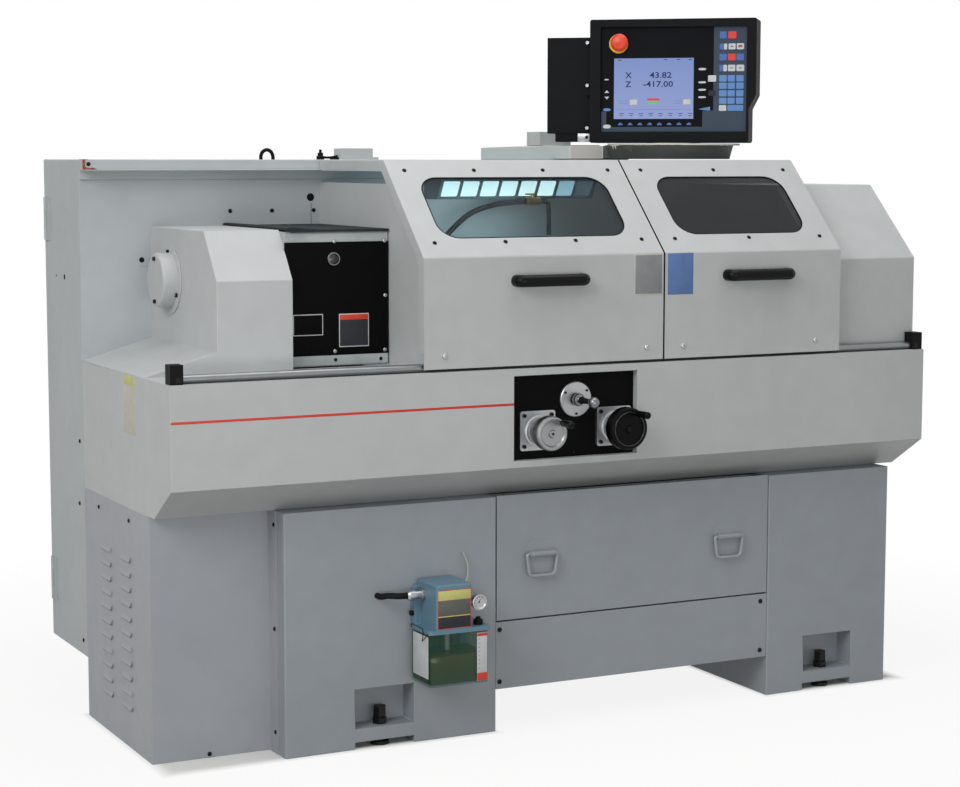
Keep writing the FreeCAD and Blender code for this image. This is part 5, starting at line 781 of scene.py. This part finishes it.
def roundedLoop(left, right, low, high, corner, steps=8):  # points round a window, measured on the slope
    points = []
    for cx, cz, start in ((right - corner, high - corner, 0), (left + corner, high - corner, 90),
                          (left + corner, low + corner, 180), (right - corner, low + corner, 270)):
        points += [(cx + x, cz + z) for x, z in spread(corner, [start + 90 * i / steps for i in range(steps + 1)])]
    return points


windows = {"left": (663, 1159), "right": (1298, 1671), "low": 58, "high": 251.7, "corner": 50, "gasket": 1.7,
           "inset": 1.2, "sunk": 0.9}
half = math.sqrt(0.5)
for side in ("left", "right"):
    left, right = windows[side]
    inset, sunk = windows["inset"], windows["sunk"]
    loop = roundedLoop(left + inset, right - inset, windows["low"] + inset, windows["high"] - inset,
                       windows["corner"] - inset)
    rim = Shape()
    rim.wire(hoseBlack, [(x, guard["front"] + (s + sunk) * half, guard["kink"] + (s - sunk) * half) for x, s in loop],
             windows["gasket"], True)
    rim.settle(side + "WindowGasket", side + "_door")

seal = {"left": 1226.8, "wide": 3.8, "front": 3.6, "back": 5, "foot": 868.5, "run": 218.4}
seam = Shape()  # the black line where the guards meet
seam.slab(hoseBlack, (seal["left"], seal["front"], seal["foot"]),
          (seal["left"] + seal["wide"], seal["back"], guard["kink"]))
slope = [(seal["front"], 0), (seal["front"] + seal["run"], seal["run"]),
         (seal["back"] + seal["run"], seal["run"] - 0.6), (seal["back"], -0.6)]
seam.outline(hoseBlack, [(seal["left"], y, guard["kink"] + rise) for y, rise in slope], (seal["wide"], 0, 0))
seam.settle("guardSeal", "right_door")

lamp = {"left": 904, "right": 1354, "low": 1240, "high": 1291.5, "front": 570, "lean": 30, "rim": 8, "sill": 7,
        "brow": 4, "cells": 8, "lit": 6}
tall = lamp["high"] - lamp["low"]
pitch = (lamp["right"] - lamp["left"] - lamp["rim"]) / lamp["cells"]
lampDown = Vector((0, -tall, -lamp["lean"])).normalized()
rise = tall - lamp["sill"] - lamp["brow"]
cellSize = mm(pitch - lamp["rim"] - 0.6, rise * math.hypot(1, lamp["lean"] / tall) - 3, 0.8)
cellHigh = lamp["low"] + lamp["sill"] + rise / 2 - 0.6
cellFront = lamp["front"] - lamp["lean"] * (cellHigh - lamp["low"]) / tall + 3.5
cells = [(at(lamp["left"] + (lamp["rim"] + pitch) / 2 + pitch * i, cellFront, cellHigh), lampDown, cellSize)
         for i in range(lamp["cells"])]
for name, some, finish in (("litLampCells", cells[:lamp["lit"]], lampBright),
                           ("fadingLampCells", cells[lamp["lit"]:-1], lampFading),
                           ("dimLampCells", cells[-1:], lampDim)):
    grown(name, keyPattern, "base", "lamp_parts", some, Corner=0.08, Finish=finish)
print("windows and lamp set")


# controls

centre = Shape()
centre.spun(blackScrew, (wheel["left"], -61.95, wheel["high"]), forward, disc(3.4, 0.3), 20)
centre.settle("leftWheelCentre", "left_handwheel")
ring = Shape()
ring.spun(rimBlack, (wheel["right"], -61.9, wheel["high"]), forward,
          [(0, 38), (0, 41), (0.6, 40.5), (0.6, 38.5), (0, 38)], 48)
ring.spun(gripBlack, (wheel["right"], -62.1, wheel["high"]), forward, disc(5, 0.8, 4), 20)
ring.settle("rightWheelRing", "right_handwheel")


# lubricator

pump = {"left": 608, "right": 692, "front": -46, "low": 285, "high": 374, "skin": 0.4, "rim": 1.4}
plate = Shape()
face = pump["front"] - pump["skin"]
plate.slab(printRed, (pump["left"], face, pump["low"]), (pump["right"], pump["front"] + 0.1, pump["high"]), 0.1)
for finish, low, high in ((printYellow, 351, 372.6), (printGrey, 315, 350.4), (printYellow, 312.6, 314.6),
                          (printDark, 286.4, 312)):
    plate.slab(finish, (pump["left"] + pump["rim"], face - 0.2, low), (pump["right"] - pump["rim"], face + 0.1, high),
               0.05)
plate.settle("pumpPlate", "base")

tank = {"oil": ((593.3, -40.7, 155.3), (735.7, 54.7, 222), 5), "strainer": ((640, 4, 175), (690, 44, 209), 3),
        "pipe": (662, 22, 209), "neck": (702, 16, 236), "marks": 8, "from": 186, "step": 9.6}
fill = Shape()
fill.slabs((oil, *tank["oil"]), (mouldedBlack, *tank["strainer"]))
fill.spun(zincSheet, tank["pipe"], upward, disc(9, 64), 20)
fill.spun(pumpEnamel, tank["neck"], upward, [(0, 0), (0, 11), (2, 12), (36, 12), (36, 0)], 24)
fill.settle("tankContents", "base")

labels = Shape()
labels.slabs((printWhite, (589.5, -34, 170), (590.2, 46, 267), 0.15),
             (printWhite, (708, -44.6, 157), (734, -43.9, 268), 0.15),
             (printRed, (708.4, -44.8, 157.4), (733.6, -44.4, 175), 0.1),
             (printRed, (708.4, -44.8, 260), (733.6, -44.4, 267), 0.1))
for i in range(tank["marks"]):
    labels.spun(printDark, (714, -44.6, tank["from"] + i * tank["step"]), forward, disc(1.1, 0.2), 10)
labels.settle("tankLabels", "base")

gauge = {"x": 718, "front": -38.2, "z": 337, "radius": 13.6, "marks": 9, "from": -135, "step": 33.75, "ring": 11,
         "needle": 38}
dial = Shape()


def onGauge(ahead, right=0, up=0):
    return gauge["x"] + right, gauge["front"] + ahead, gauge["z"] + up


dial.spun(brightSteel, onGauge(1.9), forward,
          [(0, 13), (0, 18), (2.4, 18), (3, 17), (3, 15.4), (1.6, 14.4), (0.6, 13), (0, 13)], 40)
dial.spun(printWhite, onGauge(1.9), forward, disc(gauge["radius"], 0.6))
for i in range(gauge["marks"]):
    angle = gauge["from"] + i * gauge["step"]
    up, right = spread(gauge["ring"], [angle])[0]
    dial.slab(printDark, onGauge(0.9, right - 0.4, up - 1.6), onGauge(1.3, right + 0.4, up + 1.6),
              turn=turned(angle, "Y"))
dial.slab(printDark, onGauge(0.9, -0.5, -3), onGauge(1.2, 0.5, 9), turn=turned(gauge["needle"], "Y"))
dial.spun(printDark, onGauge(1.4), forward, disc(1.8, 0.7, 1.2), 16)
dial.settle("gaugeDial", "base")

clip = Shape()
clip.wire(blackScrew, [(586.6, 50, 276), (586.2, 46, 284), (586.2, -12, 283), (585.8, -16, 272), (585.4, -11, 254),
                       (585.8, -30, 268), (586.4, -38, 276)], 1.1)
clip.settle("tankClip", "base")
print("lubricator dressed")


# pendant

pendantPlace = Matrix.Translation(at(1560, 500, 0)) @ turned(-39.7, "Z")
pendantOut = (pendantPlace.to_3x3() @ forward).normalized()
faceAt = -43.0  # the panel's face, in mm before the swivel's axis
markAt, screenAt, keyThick = faceAt - 0.7, faceAt + 1.2, 1.3
field = Shape(pendantPlace)


def areas(finish, front, back, *rows):  # rows hold left, right, low and high, in mm on the panel
    for x0, x1, z0, z1 in rows:
        field.slab(finish, (x0, front, z0), (x1, back, z1))


areas(blackPanel, faceAt - 0.25, faceAt + 0.1, (-186, 108, 1603, 1682), (-186, -152.5, 1466, 1603),
      (-172, -152.5, 1425.5, 1466), (56.5, 108, 1467, 1603), (56.5, 80, 1425.5, 1467), (-152.5, 56.5, 1425.5, 1446))
areas(screenGlow, screenAt, faceAt + 2.9, (-152.3, 56.3, 1446.2, 1602.8))
upright = turned(90, "X")
for text, wide, x, z in (("X", 1.05, -122, 1552), ("Z", 1.05, -122, 1529),
                         ("43.82", 1.24, -58.5, 1552), ("-417.00", 1.24, -76, 1529)):
    place = Matrix.Translation(mm(x, screenAt - 0.15, z)) @ upright @ Matrix.Diagonal((wide, 1, 1, 1))
    field.words(inkBlue, text, 15, place, 0.32)
areas(keyRed, screenAt - 0.2, screenAt, (-64.5, -32, 1493.5, 1499))
areas(keyGreen, screenAt - 0.2, screenAt, (-64.5, -32, 1484.5, 1492))
areas(printWhite, screenAt - 0.2, screenAt, (-110, -91, 1483, 1496.5), (30, 49, 1483, 1496.5))
lines = ((-142, -114, 1492), (-138, -114, 1486), (8, 28, 1492), (8, 28, 1486), (-146, 52, 1470))
areas(keyDeepBlue, screenAt - 0.12, screenAt, *((x0, x1, z, z + 0.7) for x0, x1, z in lines))
softKeys = [-138 + i * 25.7 for i in range(8)]
for x in softKeys:
    areas(inkBlue, screenAt - 0.12, screenAt, (x, x + 12, 1459, 1460.6), (x + 2, x + 10, 1453.5, 1455))
areas(inkBlue, screenAt - 0.12, screenAt, *((x, x + 9, 1597.5, 1599.3) for x in (-142, -22, 12, 42)))
field.spun(stopYellow, (-140.5, faceAt, 1641), forward, [(0, 0), (0, 25), (0.5, 25), (0.8, 24), (0.8, 0)], 40)
for z in (1423, 1534, 1645):  # bright hinge screws at the side box's edge
    field.spun(brightSteel, (-225, -33, z), forward, [(0, 0), (0, 5), (1.2, 4.2), (1.2, 2), (0.4, 1.6), (0.4, 0)], 24)
field.slabs((brightSteel, (-252, -20, 1389), (-217, -17.9, 1411), 0.5),
            (brightSteel, (-252, -23, 1387.4), (-217, -17.9, 1389.4), 0.5))
field.spun(blackScrew, (-228, -20, 1399), forward, disc(4.5, 2, 4), 20)
softKeyArrow = [(-6, 1430), (6, 1430), (6, 1433), (0, 1437), (-6, 1433)]
arrows = [(keyDeepBlue, [(x + 3.5 + dx, z) for dx, z in softKeyArrow]) for x in softKeys]
arrows += [(keyWhite, [(-177, z), (-165, z), (-171, z + 7 * sign)]) for sign, z in ((1, 1514), (-1, 1504))]
arrows += [(keyBlue, [(69, 1471), (100, 1477), (100, 1467), (84, 1468)])]
for finish, points in arrows:
    field.outline(finish, [(x, markAt, z) for x, z in points], (0, 0.5, 0))
field.settle("pendantField", "pendant")


def keys(name, finish, corner, rows):  # rows as above
    spots = [(pendantPlace @ mm((x0 + x1) / 2, faceAt - 0.1, (z0 + z1) / 2), pendantOut,
              mm(x1 - x0, z1 - z0, keyThick)) for x0, x1, z0, z1 in rows]
    grown(name, keyPattern, "pendant", "pendant_keys", spots, Corner=corner, Finish=finish)


pad = [(x0, x1, z0, z1) for x0, x1 in ((123, 142.5), (145, 163.5), (167, 186))
       for z0, z1 in ((1541, 1557.5), (1522.5, 1538.5), (1503, 1519), (1484, 1499.8))]
figured = [(145, 164, 1567.5, 1584), (167, 187, 1567.5, 1584), (146, 164, 1623, 1638.5)]
keys("keypadBlue", keyBlue, 0.12, pad + [(145, 186, 1466, 1481)])
keys("functionKeysBlue", keyDeepBlue, 0.12, [
    (123, 141, 1651, 1669.5), (123, 142, 1595, 1612), (167, 186, 1595, 1612), (123, 134, 1623, 1638),
    (123, 133, 1567.5, 1584)])
keys("functionKeysRed", keyRed, 0.12, [(145, 166, 1651, 1669.5), (145, 165, 1595, 1612)])
keys("functionKeysWhite", keyWhite, 0.14, figured + [
    (167, 186, 1623, 1638.5), (134.5, 142.5, 1623, 1638), (133.5, 142.5, 1567.5, 1584), (123, 142, 1466, 1481),
    (94, 115, 1541, 1557.5)])
keys("ovalKeys", keyWhite, 0.38, [
    (69, 89, 1570.5, 1576.5), (69, 89, 1537, 1542), (69, 89, 1518, 1523), (69, 89, 1499, 1504),
    (-180, -160, 1421.5, 1431.5), (-177, -166, 1546.5, 1550)])
keys("ovalKeyBlue", keyBlue, 0.38, [(-180, -160.5, 1466.5, 1474)])
keys("darkKey", keyDark, 0.2, [(95, 114, 1504.5, 1518.5)])
keys("redMarks", keyRed, 0.3, [(171, 182, 1628, 1634)])
keys("keyFigures", inkBlue, 0.2, [((x0 + x1) / 2 - 3, (x0 + x1) / 2 + 3, (z0 + z1) / 2 - 1.5, (z0 + z1) / 2 + 1.5)
                                  for x0, x1, z0, z1 in figured])
print("pendant dressed")


# floor, light and camera

footprint = {"feet": [{"middle": -592, "half": 380}, {"middle": 791, "half": 185}], "middle": -62, "half": 270,
             "fade": 40}  # where the machine stands, in mm from the part's origin
floorHalf, floorHigh = 14, -0.0005


def seenRays(graph):  # 1 for what the camera sees, also in a mirror or through a pane
    path = graph.tree.nodes.new("ShaderNodeLightPath")
    camera, glossy, through = (Value(graph, path.outputs["Is %s Ray" % kind])
                               for kind in ("Camera", "Glossy", "Transmission"))
    return (camera + glossy + through).clamped()


def floorFinish():
    made = Finish("studioFloor", (242, 241, 238), 0.8)
    seen = seenRays(made)
    made.painted(Base_Color=made.blend(tone((150, 149, 146)), tone((242, 241, 238)), seen))  # its bounce is kept low
    across, back = made.along("X"), made.along("Y")
    gaps = []
    for foot in footprint["feet"]:  # how far a place is outside each foot
        beside = (across - foot["middle"]).maths("ABSOLUTE") - foot["half"]
        behind = (back - footprint["middle"]).maths("ABSOLUTE") - footprint["half"]
        gaps.append(beside.maths("MAXIMUM", behind))
    clear = made.level(gaps[0].maths("MINIMUM", gaps[1]), 0.0, footprint["fade"], 0.0, 0.88)
    away = made.node("ShaderNodeVectorMath", {0: made.place}, "Value", operation="LENGTH")
    clear = clear + made.level(away, 1.3, 2.4, 0.0, 0.12)
    glow = made.node("ShaderNodeEmission", {"Color": (1, 1, 1, 1)})
    shader = Value(made, made.shader.outputs[0])
    mixed = made.node("ShaderNodeMixShader", {0: seen * clear, 1: shader, 2: glow})
    made.tree.links.new(mixed.socket, made.surface)
    return made.material


floorMesh = bpy.data.meshes.new("floor")
floorMesh.from_pydata([(x * floorHalf, y * floorHalf, floorHigh) for x, y in ((-1, -1), (1, -1), (1, 1), (-1, 1))],
                      [], [(0, 1, 2, 3)])
floorMesh.materials.append(floorFinish())
floor = linked("floor", floorMesh)

studio = {"ambient": 0.33, "key": 102.3, "low": 37.9, "top": 53.7, "inside": 0.5}
world = bpy.data.worlds.new("studio")
bpy.context.scene.world = world
world.use_nodes = True
sky = Graph(world.node_tree)
sky.tree.nodes.clear()
strength = seenRays(sky) * (1 - studio["ambient"]) + studio["ambient"]
background = sky.node("ShaderNodeBackground", {"Color": (1, 1, 1, 1), "Strength": strength})
sky.tree.links.new(background.socket, sky.tree.nodes.new("ShaderNodeOutputWorld").inputs["Surface"])


def softBox(name, power, place, target, size, colour=(1, 1, 1)):
    light = bpy.data.lights.new(name, "AREA")
    light.shape = "RECTANGLE"
    light.size, light.size_y = size
    light.energy, light.color = power, colour
    made = linked(name, light)
    made.location = place
    made.rotation_euler = (Vector(target) - Vector(place)).to_track_quat("-Z", "Y").to_euler()


softBox("keyLight", studio["key"], (-4.2, -2.6, 3.4), (0, 0, 0.9), (2.6, 2.2))
softBox("lowLight", studio["low"], (-1.2, -4.8, 0.6), (0, -0.3, 0.7), (3.0, 0.7))
softBox("workLight", studio["inside"], at(960, 440, 1225), at(930, 642, 940), (0.36, 0.08), (0.62, 0.93, 1.0))
softBox("topLight", studio["top"], (0.2, -0.6, 4.2), (0, 0.1, 0.9), (3.4, 2.6))

view = {"place": (-2.4522, -4.7434, 1.340), "down": 6.222, "right": 26.882, "roll": 0.046, "lens": 80.43,
        "sensor": 36, "far": 60}
camera = bpy.data.cameras.new("camera")
camera.lens = view["lens"]
camera.sensor_width = view["sensor"]
camera.sensor_fit = "HORIZONTAL"
camera.clip_end = view["far"]
eye = linked("camera", camera)
eye.matrix_world = (Matrix.Translation(view["place"]) @ turned(-view["right"], "Z")
                    @ turned(90 - view["down"], "X") @ turned(view["roll"], "Z"))
bpy.context.scene.camera = eye
bpy.context.scene.view_settings.view_transform = "Standard"

for head in screwHeads.values():
    bpy.data.objects.remove(head)
print("scene ready")
